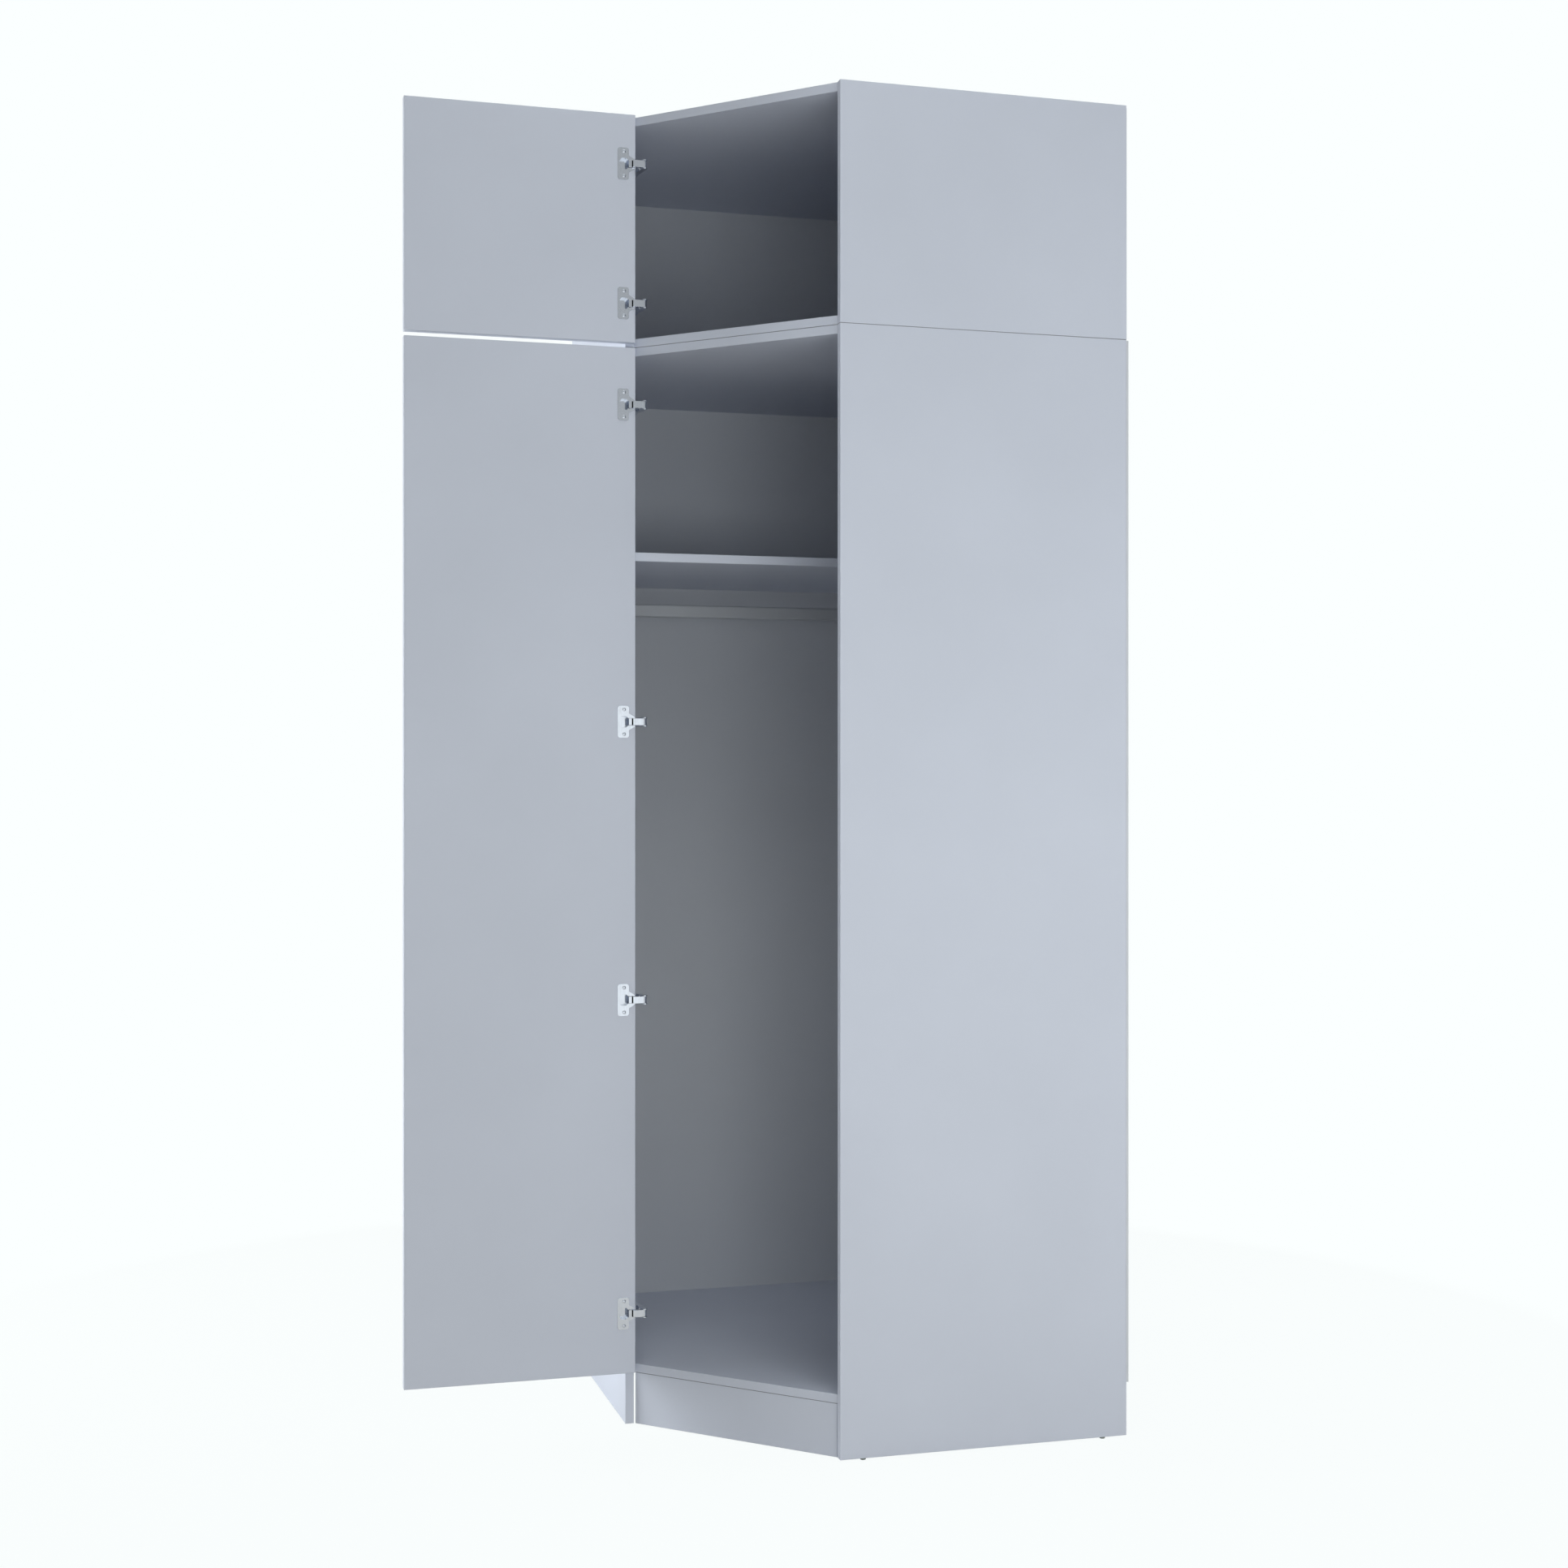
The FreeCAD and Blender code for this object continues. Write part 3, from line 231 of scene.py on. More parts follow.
class EffectGroups:
    """Shader groups that several finishes share. Each is built once."""

    SPECKS_PER_CELL = 2.3
    SPECK_HEIGHT = 0.45
    SPECK_TONE = 0.35
    TONE_MIDDLE = 0.67
    NOISE_MIDDLE = 0.5
    BEYOND_ALL_BOARDS = -100.0
    JOINT_LINE_HALF = 0.08 * MILLIMETRE

    def __init__(self) -> None:
        """Build every group."""
        self.pearl = self._pearl()
        self.edge = self._edge()
        self.handling = self._handling()
        self.drawn = self._drawn()
        self.shade_band = self._band()

    @staticmethod
    def _start(name: str, inputs: dict[str, tuple[str, object]], outputs: tuple[str, ...]) -> tuple[
            Nodes, bpy.types.Node, bpy.types.Node]:
        """Make an empty group.

        Args:
            name: the group's name.
            inputs: each input's socket type and first value.
            outputs: the names of the value outputs.

        Returns:
            The tree, its input node and its output node.
        """
        tree = bpy.data.node_groups.new(name, "ShaderNodeTree")
        for label, (kind, value) in inputs.items():
            socket = tree.interface.new_socket(label, in_out="INPUT", socket_type=kind)
            if value is not None:
                socket.default_value = value
        for label in outputs:
            tree.interface.new_socket(label, in_out="OUTPUT", socket_type="NodeSocketFloat")
        nodes = Nodes(tree)
        return nodes, nodes.add("NodeGroupInput"), nodes.add("NodeGroupOutput")

    def _pearl(self) -> bpy.types.NodeTree:
        """The fine pebbled press of melamine paper: a height, and a slight tone that goes with it.

        Returns:
            The group's tree.
        """
        inputs = {"Vector": ("NodeSocketVector", None), "Cells per metre": ("NodeSocketFloat", 900.0)}
        nodes, source, result = self._start("pearl press", inputs, ("Height", "Tone"))
        cells = nodes.add("ShaderNodeTexVoronoi", {"Randomness": 1.0}, feature="SMOOTH_F1")
        specks = nodes.add("ShaderNodeTexNoise", {"Detail": 2.0, "Roughness": 0.6})
        clouds = nodes.add("ShaderNodeTexNoise", {"Scale": 3.5, "Detail": 3.0, "Roughness": 0.5})
        for texture in (cells, specks, clouds):
            nodes.join(source.outputs["Vector"], texture.inputs["Vector"])
        nodes.join(source.outputs["Cells per metre"], cells.inputs["Scale"])
        speck_scale = nodes.maths("MULTIPLY", source.outputs["Cells per metre"], self.SPECKS_PER_CELL)
        nodes.join(speck_scale, specks.inputs["Scale"])
        height = nodes.maths("MULTIPLY_ADD", specks.outputs["Fac"], self.SPECK_HEIGHT,
                             cells.outputs["Distance"])
        nodes.join(height, result.inputs["Height"])
        tone = nodes.maths("MULTIPLY_ADD", specks.outputs["Fac"], self.SPECK_TONE, clouds.outputs["Fac"])
        nodes.join(nodes.maths("SUBTRACT", tone, self.TONE_MIDDLE), result.inputs["Tone"])
        return nodes.tree

    def _edge(self) -> bpy.types.NodeTree:
        """How near a point on a board is to the board's edges, from the board's own corners.

        The second smallest distance to the board's planes is the distance to its nearest edge.

        Returns:
            The group's tree.
        """
        inputs = {
            "Vector": ("NodeSocketVector", None),
            "Low": ("NodeSocketVector", None),
            "High": ("NodeSocketVector", None),
            "Front line": ("NodeSocketFloat", self.BEYOND_ALL_BOARDS),
            "Seam": ("NodeSocketFloat", self.BEYOND_ALL_BOARDS),
            "Seam half": ("NodeSocketFloat", 0.0005),
            "Tape": ("NodeSocketFloat", 0.001),
            "Wear and highlight": ("NodeSocketFloat", 0.002),
        }
        nodes, source, result = self._start("board edge", inputs, ("Tape", "Joint line", "Seam", "Wear and highlight"))
        above = nodes.vectors("SUBTRACT", source.outputs["Vector"], source.outputs["Low"])
        below = nodes.vectors("SUBTRACT", source.outputs["High"], source.outputs["Vector"])
        nearest = nodes.parts(nodes.vectors("MINIMUM", above, below))
        place = nodes.parts(source.outputs["Vector"])
        low = nodes.maths("MINIMUM", nearest["X"], nearest["Y"])
        high = nodes.maths("MAXIMUM", nearest["X"], nearest["Y"])
        first = nodes.maths("MINIMUM", low, nearest["Z"])
        middle = nodes.maths("MAXIMUM", low, nodes.maths("MINIMUM", high, nearest["Z"]))
        along = nodes.maths("ADD", place["X"], place["Y"])
        slanted = nodes.maths("SUBTRACT", along, source.outputs["Front line"])
        slanted = nodes.maths("MULTIPLY", slanted, math.sqrt(0.5))
        near = nodes.maths("MINIMUM", first, slanted)
        far = nodes.maths("MINIMUM", middle, nodes.maths("MAXIMUM", first, slanted))
        distance = nodes.maths("MAXIMUM", near, far)
        tape = nodes.maths("LESS_THAN", distance, source.outputs["Tape"])
        nodes.join(tape, result.inputs["Tape"])
        offset = nodes.maths("SUBTRACT", distance, source.outputs["Tape"])
        line = nodes.maths("LESS_THAN", nodes.maths("ABSOLUTE", offset), self.JOINT_LINE_HALF)
        nodes.join(line, result.inputs["Joint line"])
        # Painted shade: a thin band at the seam height, where the board's colour is darkened as if the joint
        # to the next board were in shadow.
        above_seam = nodes.maths("SUBTRACT", place["Z"], source.outputs["Seam"])
        in_shaded_seam = nodes.maths("LESS_THAN", nodes.maths("ABSOLUTE", above_seam), source.outputs["Seam half"])
        nodes.join(in_shaded_seam, result.inputs["Seam"])
        # The rubbed band along the edges: wear for the gloss, and a painted highlight for the colour.
        share = nodes.maths("DIVIDE", distance, source.outputs["Wear and highlight"])
        fade = nodes.maths("SUBTRACT", 1.0, nodes.maths("MINIMUM", share, 1.0))
        rubbed = nodes.add("ShaderNodeTexNoise", {"Scale": 60.0, "Detail": 4.0, "Roughness": 0.7})
        nodes.join(source.outputs["Vector"], rubbed.inputs["Vector"])
        nodes.join(nodes.maths("MULTIPLY", fade, rubbed.outputs["Fac"]), result.inputs["Wear and highlight"])
        return nodes.tree

    def _handling(self) -> bpy.types.NodeTree:
        """Faint wiped patches that change the gloss: a mask round zero.

        Returns:
            The group's tree.
        """
        inputs = {"Vector": ("NodeSocketVector", None), "Size": ("NodeSocketFloat", 5.0)}
        nodes, source, result = self._start("wiped patches", inputs, ("Mask",))
        patches = nodes.add("ShaderNodeTexNoise", {"Detail": 5.0, "Roughness": 0.55, "Distortion": 0.8})
        nodes.join(source.outputs["Vector"], patches.inputs["Vector"])
        nodes.join(source.outputs["Size"], patches.inputs["Scale"])
        mask = nodes.maths("SUBTRACT", patches.outputs["Fac"], self.NOISE_MIDDLE)
        nodes.join(mask, result.inputs["Mask"])
        return nodes.tree

    def _drawn(self) -> bpy.types.NodeTree:
        """Fine lines of drawn or rolled metal: noise stretched by a scale for each direction.

        Returns:
            The group's tree.
        """
        inputs = {
            "Vector": ("NodeSocketVector", None),
            "Stretch": ("NodeSocketVector", (20.0, 2500.0, 2500.0)),
        }
        nodes, source, result = self._start("drawn lines", inputs, ("Height", "Mask"))
        stretched = nodes.vectors("MULTIPLY", source.outputs["Vector"], source.outputs["Stretch"])
        lines = nodes.add("ShaderNodeTexNoise", {"Scale": 1.0, "Detail": 3.0, "Roughness": 0.6})
        nodes.join(stretched, lines.inputs["Vector"])
        nodes.join(lines.outputs["Fac"], result.inputs["Height"])
        mask = nodes.maths("SUBTRACT", lines.outputs["Fac"], self.NOISE_MIDDLE)
        nodes.join(mask, result.inputs["Mask"])
        return nodes.tree

    def _band(self) -> bpy.types.NodeTree:
        """One between two places along X and zero elsewhere.

        Returns:
            The group's tree.
        """
        inputs = {
            "Vector": ("NodeSocketVector", None),
            "From": ("NodeSocketFloat", 0.0),
            "To": ("NodeSocketFloat", 0.0),
        }
        nodes, source, result = self._start("band along X", inputs, ("Mask",))
        along = nodes.parts(source.outputs["Vector"])["X"]
        past = nodes.maths("GREATER_THAN", along, source.outputs["From"])
        short = nodes.maths("LESS_THAN", along, source.outputs["To"])
        nodes.join(nodes.maths("MULTIPLY", past, short), result.inputs["Mask"])
        return nodes.tree


class Surface:
    """A material on a Principled shader, with its Object coordinates at hand."""

    def __init__(self, name: str, values: dict[str, object]) -> None:
        """Make the material.

        Args:
            name: the material's name.
            values: constant values on the shader's own sockets.
        """
        self.material = bpy.data.materials.new(name)
        self.material.use_nodes = True
        self.nodes = Nodes(self.material.node_tree)
        self.shader = self.material.node_tree.nodes["Principled BSDF"]
        self.place = self.nodes.add("ShaderNodeTexCoord").outputs["Object"]
        for key, value in values.items():
            self.shader.inputs[key].default_value = value

    def group(self, tree: bpy.types.NodeTree, values: dict[str, object]) -> bpy.types.Node:
        """Place an effect group that reads this surface's Object coordinates.

        Args:
            tree: the group's tree.
            values: its other inputs by name.

        Returns:
            The group's node.
        """
        node = self.nodes.add("ShaderNodeGroup", node_tree=tree)
        self.nodes.join(self.place, node.inputs["Vector"])
        for key, value in values.items():
            node.inputs[key].default_value = value
        return node

    def tint(self, base: object, other: Colour, amount: bpy.types.NodeSocket) -> bpy.types.NodeSocket:
        """Mix a colour towards another.

        Args:
            base: a colour or a colour socket.
            other: the colour at an amount of one.
            amount: the mask.

        Returns:
            The mixed colour's socket.
        """
        mix = self.nodes.add("ShaderNodeMix", {"B": opaque(other)}, data_type="RGBA", clamp_factor=False)
        start = base if isinstance(base, bpy.types.NodeSocket) else opaque(base)
        self.nodes.feed(start, mix.inputs["A"])
        self.nodes.join(amount, mix.inputs["Factor"])
        return mix.outputs["Result"]

    def bump(self, height: bpy.types.NodeSocket, distance: float) -> None:
        """Feed a height to the shader's normal.

        Args:
            height: the height's socket.
            distance: how deep a height of one is.
        """
        node = self.nodes.add("ShaderNodeBump", {"Strength": 1.0, "Distance": distance})
        self.nodes.join(height, node.inputs["Height"])
        self.nodes.join(node.outputs["Normal"], self.shader.inputs["Normal"])

    def colour(self, socket: bpy.types.NodeSocket) -> None:
        """Feed the base colour."""
        self.nodes.join(socket, self.shader.inputs["Base Color"])

    def roughness(self, socket: bpy.types.NodeSocket) -> None:
        """Feed the roughness."""
        self.nodes.join(socket, self.shader.inputs["Roughness"])


@dataclass(frozen=True)
class MelamineFinish:
    """Satin melamine on a board, with edging tape along its edges, a painted highlight along its rubbed
    arrises, and a line of painted shade where it meets the next board flush.
    """

    name: str
    colour: Colour
    gloss: float = 0.46
    cells: float = 900.0
    tape: float = 0.9 * MILLIMETRE
    wear_and_highlight_width: float = 2.5 * MILLIMETRE
    seam_half: float = 0.6 * MILLIMETRE
    # How dark the painted shade line at the seam is.
    seam_shade_tone: float = 0.35
    speck_tone: float = 0.90
    # Colour of the rubbed arrises: partly wear, partly a painted highlight along the edges.
    worn_tone: float = 1.06
    wear_and_highlight_share: float = 0.8
    joint_tone: float = 0.72
    joint_share: float = 0.35
    patches: float = 4.0
    patch_gloss: float = 0.12
    tape_gloss: float = -0.06
    worn_gloss: float = 0.08
    press_depth: float = 0.012 * MILLIMETRE

    def material(self, groups: EffectGroups, node: str, front_line: float | None = None,
                 seam: float | None = None) -> bpy.types.Material:
        """Make the finish for one board.

        Args:
            groups: the shared effects.
            node: the board's CAD node.
            front_line: x plus y on the board's slanted front face, where it has one.
            seam: the height where the board meets the next one flush, where it does; a line of painted shade
                is drawn there.

        Returns:
            The board's material.
        """
        low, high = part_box(node)
        surface = Surface(self.name + "_" + node, {"IOR": 1.5, "Specular IOR Level": 0.5})
        pearl = surface.group(groups.pearl, {"Cells per metre": self.cells})
        edge_values = {"Low": low, "High": high, "Tape": self.tape, "Wear and highlight": self.wear_and_highlight_width}
        if front_line is not None:
            edge_values["Front line"] = front_line
        if seam is not None:
            edge_values["Seam"] = seam
            edge_values["Seam half"] = self.seam_half
        edge = surface.group(groups.edge, edge_values)
        wiped = surface.group(groups.handling, {"Size": self.patches})
        maths = surface.nodes.maths
        colour = surface.tint(self.colour, scaled(self.colour, self.speck_tone), pearl.outputs["Tone"])
        # Painted highlight: the rubbed arrises are lightened, part wear and part the light that the edges
        # catch.
        wear_and_highlight = maths("MULTIPLY", edge.outputs["Wear and highlight"], self.wear_and_highlight_share)
        colour = surface.tint(colour, scaled(self.colour, self.worn_tone), wear_and_highlight)
        line = maths("MULTIPLY", edge.outputs["Joint line"], self.joint_share)
        colour = surface.tint(colour, scaled(self.colour, self.joint_tone), line)
        # Painted shade: the seam band is darkened, standing in for the shadow in the joint to the next board.
        surface.colour(surface.tint(colour, scaled(self.colour, self.seam_shade_tone), edge.outputs["Seam"]))
        gloss = maths("MULTIPLY_ADD", wiped.outputs["Mask"], self.patch_gloss, self.gloss)
        gloss = maths("MULTIPLY_ADD", edge.outputs["Tape"], self.tape_gloss, gloss)
        surface.roughness(maths("MULTIPLY_ADD", edge.outputs["Wear and highlight"], self.worn_gloss, gloss))
        surface.bump(pearl.outputs["Height"], self.press_depth)
        return surface.material


@dataclass(frozen=True)
class MetalFinish:
    """Plated or drawn steel, with a near-black band of painted shade across it where one is named."""

    name: str
    colour: Colour
    gloss: float
    stretch: tuple[float, float, float]
    relief: float = 0.004 * MILLIMETRE
    shade_band: tuple[float, float] | None = None
    # How dark the painted shade band is.
    shade_band_tone: float = 0.05
    worn_tone: float = 0.86
    patches: float = 45.0
    patch_share: float = 0.5
    line_gloss: float = 0.10
    patch_gloss: float = 0.10

    def material(self, groups: EffectGroups) -> bpy.types.Material:
        """Make the finish.

        Args:
            groups: the shared effects.

        Returns:
            The metal's material.
        """
        surface = Surface(self.name, {"Metallic": 1.0})
        lines = surface.group(groups.drawn, {"Stretch": self.stretch})
        wiped = surface.group(groups.handling, {"Size": self.patches})
        maths = surface.nodes.maths
        tone = maths("MULTIPLY_ADD", wiped.outputs["Mask"], self.patch_share, lines.outputs["Mask"])
        colour = surface.tint(self.colour, scaled(self.colour, self.worn_tone), tone)
        # Painted shade: a near-black band across the metal, standing in for the shadow in a gap.
        if self.shade_band is not None:
            dark = surface.group(groups.shade_band, {"From": self.shade_band[0], "To": self.shade_band[1]})
            colour = surface.tint(colour, scaled(self.colour, self.shade_band_tone), dark.outputs["Mask"])
        surface.colour(colour)
        gloss = maths("MULTIPLY_ADD", lines.outputs["Mask"], self.line_gloss, self.gloss)
        surface.roughness(maths("MULTIPLY_ADD", wiped.outputs["Mask"], self.patch_gloss, gloss))
        surface.bump(lines.outputs["Height"], self.relief)
        return surface.material


@dataclass(frozen=True)
class PlasticFinish:
    """Moulded plastic, or baked paint on steel, with a fine texture."""

    name: str
    colour: Colour
    gloss: float = 0.5
    cells: float = 2600.0
    speck_tone: float = 0.85
    patches: float = 60.0
    patch_gloss: float = 0.15
    press_depth: float = 0.02 * MILLIMETRE

    def material(self, groups: EffectGroups) -> bpy.types.Material:
        """Make the finish.

        Args:
            groups: the shared effects.

        Returns:
            The finish's material.
        """
        surface = Surface(self.name, {"IOR": 1.46})
        pearl = surface.group(groups.pearl, {"Cells per metre": self.cells})
        wiped = surface.group(groups.handling, {"Size": self.patches})
        specked = scaled(self.colour, self.speck_tone)
        surface.colour(surface.tint(self.colour, specked, pearl.outputs["Tone"]))
        gloss = surface.nodes.maths("MULTIPLY_ADD", wiped.outputs["Mask"], self.patch_gloss, self.gloss)
        surface.roughness(gloss)
        surface.bump(pearl.outputs["Height"], self.press_depth)
        return surface.material


@dataclass(frozen=True)
class TimberFinish:
    """Bare turned beech, for the dowels."""

    name: str
    colour: Colour
    dark: Colour
    gloss: float = 0.65
    stretch: tuple[float, float, float] = (900.0, 900.0, 90.0)
    fibre_gloss: float = 0.2
    fibre_depth: float = 0.03 * MILLIMETRE

    def material(self, groups: EffectGroups) -> bpy.types.Material:
        """Make the finish.

        Args:
            groups: the shared effects.

        Returns:
            The timber's material.
        """
        surface = Surface(self.name, {"IOR": 1.45})
        fibres = surface.group(groups.drawn, {"Stretch": self.stretch})
        surface.colour(surface.tint(self.colour, self.dark, fibres.outputs["Height"]))
        gloss = surface.nodes.maths("MULTIPLY_ADD", fibres.outputs["Mask"], self.fibre_gloss, self.gloss)
        surface.roughness(gloss)
        surface.bump(fibres.outputs["Height"], self.fibre_depth)
        return surface.material


@dataclass(frozen=True)
class Palette:
    """The wardrobe's finishes."""

    board: MelamineFinish = MelamineFinish("board_melamine", linear(201, 206, 219))
    door: MelamineFinish = MelamineFinish("door_melamine", linear(201, 206, 219))
    back: MelamineFinish = MelamineFinish("back_sheet_lacquer", linear(204, 207, 213), 0.55, 500.0)
    nickel: MetalFinish = MetalFinish("hinge_nickel", linear(219, 224, 233), 0.20, (300.0, 300.0, 40.0))
    rail: PlasticFinish = PlasticFinish("rail_grey_paint", linear(174, 177, 182), 0.42)
    zinc: MetalFinish = MetalFinish("fastener_zinc", linear(196, 198, 202), 0.32, (700.0, 700.0, 700.0))
    socket: PlasticFinish = PlasticFinish("socket_grey_plastic", linear(150, 153, 158))
    glide: PlasticFinish = PlasticFinish("glide_plastic", linear(150, 156, 152))
    dowel: TimberFinish = TimberFinish("dowel_beech", linear(212, 178, 134), linear(170, 128, 84))


class Solids:
    """The separate solids of one CAD node, read from its mesh."""

    WELD = 0.001 * MILLIMETRE
    RIM_SHARE = 0.98

    def __init__(self, node: str) -> None:
        """Split the node's mesh into islands of points.

        Args:
            node: the CAD node.
        """
        mesh = bmesh.new()
        mesh.from_mesh(frame["nodes"][node].data)
        bmesh.ops.remove_doubles(mesh, verts=mesh.verts, dist=self.WELD)
        self.islands: list[list[Vector]] = []
        waiting = dict.fromkeys(mesh.verts)
        while waiting:
            start, _ = waiting.popitem()
            island = [start]
            for vertex in island:
                for edge in vertex.link_edges:
                    other = edge.other_vert(vertex)
                    if other in waiting:
                        del waiting[other]
                        island.append(other)
            self.islands.append([vertex.co.copy() for vertex in island])
        mesh.free()

    def screws(self, head_height: float) -> list[tuple[Vector, Vector]]:
        """Read each solid as a screw.

        Args:
            head_height: the height of a head.

        Returns:
            For each screw, the point in the middle under its head and the way its head faces.
        """
        found = []
        for points in self.islands:
            low = Vector(min(point[axis] for point in points) for axis in range(3))
            high = Vector(max(point[axis] for point in points) for axis in range(3))
            size = high - low
            axis = max(range(3), key=lambda index: size[index])
            middle = (low + high) / 2.0
            offsets = [point - middle for point in points]
            across = [offset.length_squared - offset[axis] ** 2 for offset in offsets]
            rim = [point for point, width in zip(points, across) if width > max(across) * self.RIM_SHARE]
            way = 1.0 if sum(point[axis] - middle[axis] for point in rim) > 0.0 else -1.0
            out = Vector((0.0, 0.0, 0.0))
            out[axis] = way
            under = middle.copy()
            under[axis] = (high[axis] - head_height) if way > 0.0 else (low[axis] + head_height)
            found.append((under, out))
        return found


def add_piece(name: str, mesh: bpy.types.Mesh, body: str,
              replaced: list[str]) -> None:
    """Put a finished mesh in the scene as a piece of the wardrobe.

    Args:
        name: the piece's name.
        mesh: its mesh, already in place.
        body: the CAD body it rides on.
        replaced: the CAD nodes it stands for.
    """
    piece = bpy.data.objects.new(name, mesh)
    bpy.context.scene.collection.objects.link(piece)
    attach(piece, body)
    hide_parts(*replaced)
    log.info("%s rides on %s, %d faces", name, body, len(mesh.polygons))


def settle(helper: bpy.types.Object, name: str) -> bpy.types.Mesh:
    """Turn an object with modifiers into a plain mesh and remove the object.

    Args:
        helper: the object, linked to the scene.
        name: the new mesh's name.

    Returns:
        The plain mesh.
    """
    bpy.context.view_layer.update()
    graph = bpy.context.evaluated_depsgraph_get()
    mesh = bpy.data.meshes.new_from_object(helper.evaluated_get(graph), depsgraph=graph)
    mesh.name = name
    helper.modifiers.clear()
    bpy.data.objects.remove(helper)
    return mesh


@dataclass
class ScrewSet:
    """Cross-head screws in place of one CAD node's, repeated by a Geometry Nodes tree."""

    node: str
    slot: Slot
    head_radius: float = 3.3 * MILLIMETRE
    head_height: float = 1.6 * MILLIMETRE
    shank_radius: float = 1.75 * MILLIMETRE
    shank_length: float = 12.0 * MILLIMETRE
    cross_width: float = 0.9 * MILLIMETRE
    cross_reach: float = 2.0 * MILLIMETRE
    cross_depth: float = 1.1 * MILLIMETRE
    sides: int = 32
    rings: int = 16
    sharp_angle: float = 35.0
    shank_in_head: float = 0.2

    def build(self, steel: bpy.types.Material) -> None:
        """Make the screws as one piece.

        Args:
            steel: their material.
        """
        body = frame["nodes"][self.node]["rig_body"]
        places = Solids(self.node).screws(self.head_height)
        points = bpy.data.meshes.new(self.node + "_places")
        points.from_pydata([under for under, _ in places], [], [])
        ways = points.attributes.new("out", "FLOAT_VECTOR", "POINT")
        ways.data.foreach_set("vector", [part for _, out in places for part in out])
        helper = bpy.data.objects.new(self.node + "_maker", points)
        bpy.context.scene.collection.objects.link(helper)
        modifier = helper.modifiers.new("screws", "NODES")
        modifier.node_group = self._tree()
        values = {
            "Head Radius": self.head_radius,
            "Head Height": self.head_height,
            "Shank Radius": self.shank_radius,
            "Shank Length": self.shank_length,
            "Cross Width": self.cross_width,
            "Cross Reach": self.cross_reach,
            "Cross Depth": self.cross_depth,
            "Steel": steel,
        }
        for item in modifier.node_group.interface.items_tree:
            if item.in_out == "INPUT" and item.name in values:
                modifier[item.identifier] = values[item.name]
        mesh = settle(helper, self.node + "_dressed")
        add_piece(self.node + "_dressed", mesh, body, [self.node])

    def _tree(self) -> bpy.types.NodeTree:
        """The screws' tree, built once and shared by every set.

        Returns:
            The tree.
        """
        name = "cross head screws"
        if name in bpy.data.node_groups:
            return bpy.data.node_groups[name]
        tree = bpy.data.node_groups.new(name, "GeometryNodeTree")
        tree.interface.new_socket("Geometry", in_out="INPUT", socket_type="NodeSocketGeometry")
        for label in ("Head Radius", "Head Height", "Shank Radius", "Shank Length", "Cross Width",
                      "Cross Reach", "Cross Depth"):
            tree.interface.new_socket(label, in_out="INPUT", socket_type="NodeSocketFloat")
        tree.interface.new_socket("Steel", in_out="INPUT", socket_type="NodeSocketMaterial")
        tree.interface.new_socket("Geometry", in_out="OUTPUT", socket_type="NodeSocketGeometry")
        nodes = Nodes(tree)
        source = nodes.add("NodeGroupInput")
        result = nodes.add("NodeGroupOutput")
        sizes = source.outputs
        head = self._head(nodes, sizes)
        shank = self._shank(nodes, sizes)
        whole = nodes.add("GeometryNodeMeshBoolean", operation="UNION", solver="EXACT")
        nodes.join(head, whole.inputs["Mesh"])
        nodes.join(shank, whole.inputs["Mesh"])
        smooth = self._smooth(nodes, whole.outputs["Mesh"])
        ways = nodes.add("GeometryNodeInputNamedAttribute", {"Name": "out"}, data_type="FLOAT_VECTOR")
        turn = nodes.add("FunctionNodeAlignRotationToVector", axis="Z")
        nodes.join(ways.outputs["Attribute"], turn.inputs["Vector"])
        copies = nodes.add("GeometryNodeInstanceOnPoints")
        nodes.join(sizes["Geometry"], copies.inputs["Points"])
        nodes.join(smooth, copies.inputs["Instance"])
        nodes.join(turn.outputs["Rotation"], copies.inputs["Rotation"])
        real = nodes.add("GeometryNodeRealizeInstances")
        nodes.join(copies.outputs["Instances"], real.inputs["Geometry"])
        dressed = nodes.add("GeometryNodeSetMaterial")
        nodes.join(real.outputs["Geometry"], dressed.inputs["Geometry"])
        nodes.join(sizes["Steel"], dressed.inputs["Material"])
        nodes.join(dressed.outputs["Geometry"], result.inputs["Geometry"])
        return tree

    def _box(self, nodes: Nodes, size: tuple[bpy.types.NodeSocket, ...],
             height: bpy.types.NodeSocket) -> bpy.types.NodeSocket:
        """A box in the tree.

        Args:
            nodes: the tree.
            size: the sockets of its three sides.
            height: the height of its middle.

        Returns:
            The box's mesh socket.
        """
        cube = nodes.add("GeometryNodeMeshCube")
        nodes.join(nodes.vector(*size), cube.inputs["Size"])
        return self._lifted(nodes, cube.outputs["Mesh"], height)

    @staticmethod
    def _lifted(nodes: Nodes, mesh: bpy.types.NodeSocket,
                height: bpy.types.NodeSocket) -> bpy.types.NodeSocket:
        """Move a mesh up.

        Args:
            nodes: the tree.
            mesh: the mesh's socket.
            height: how far up.

        Returns:
            The moved mesh's socket.
        """
        moved = nodes.add("GeometryNodeTransform")
        nodes.join(mesh, moved.inputs["Geometry"])
        nodes.join(nodes.vector(0.0, 0.0, height), moved.inputs["Translation"])
        return moved.outputs["Geometry"]

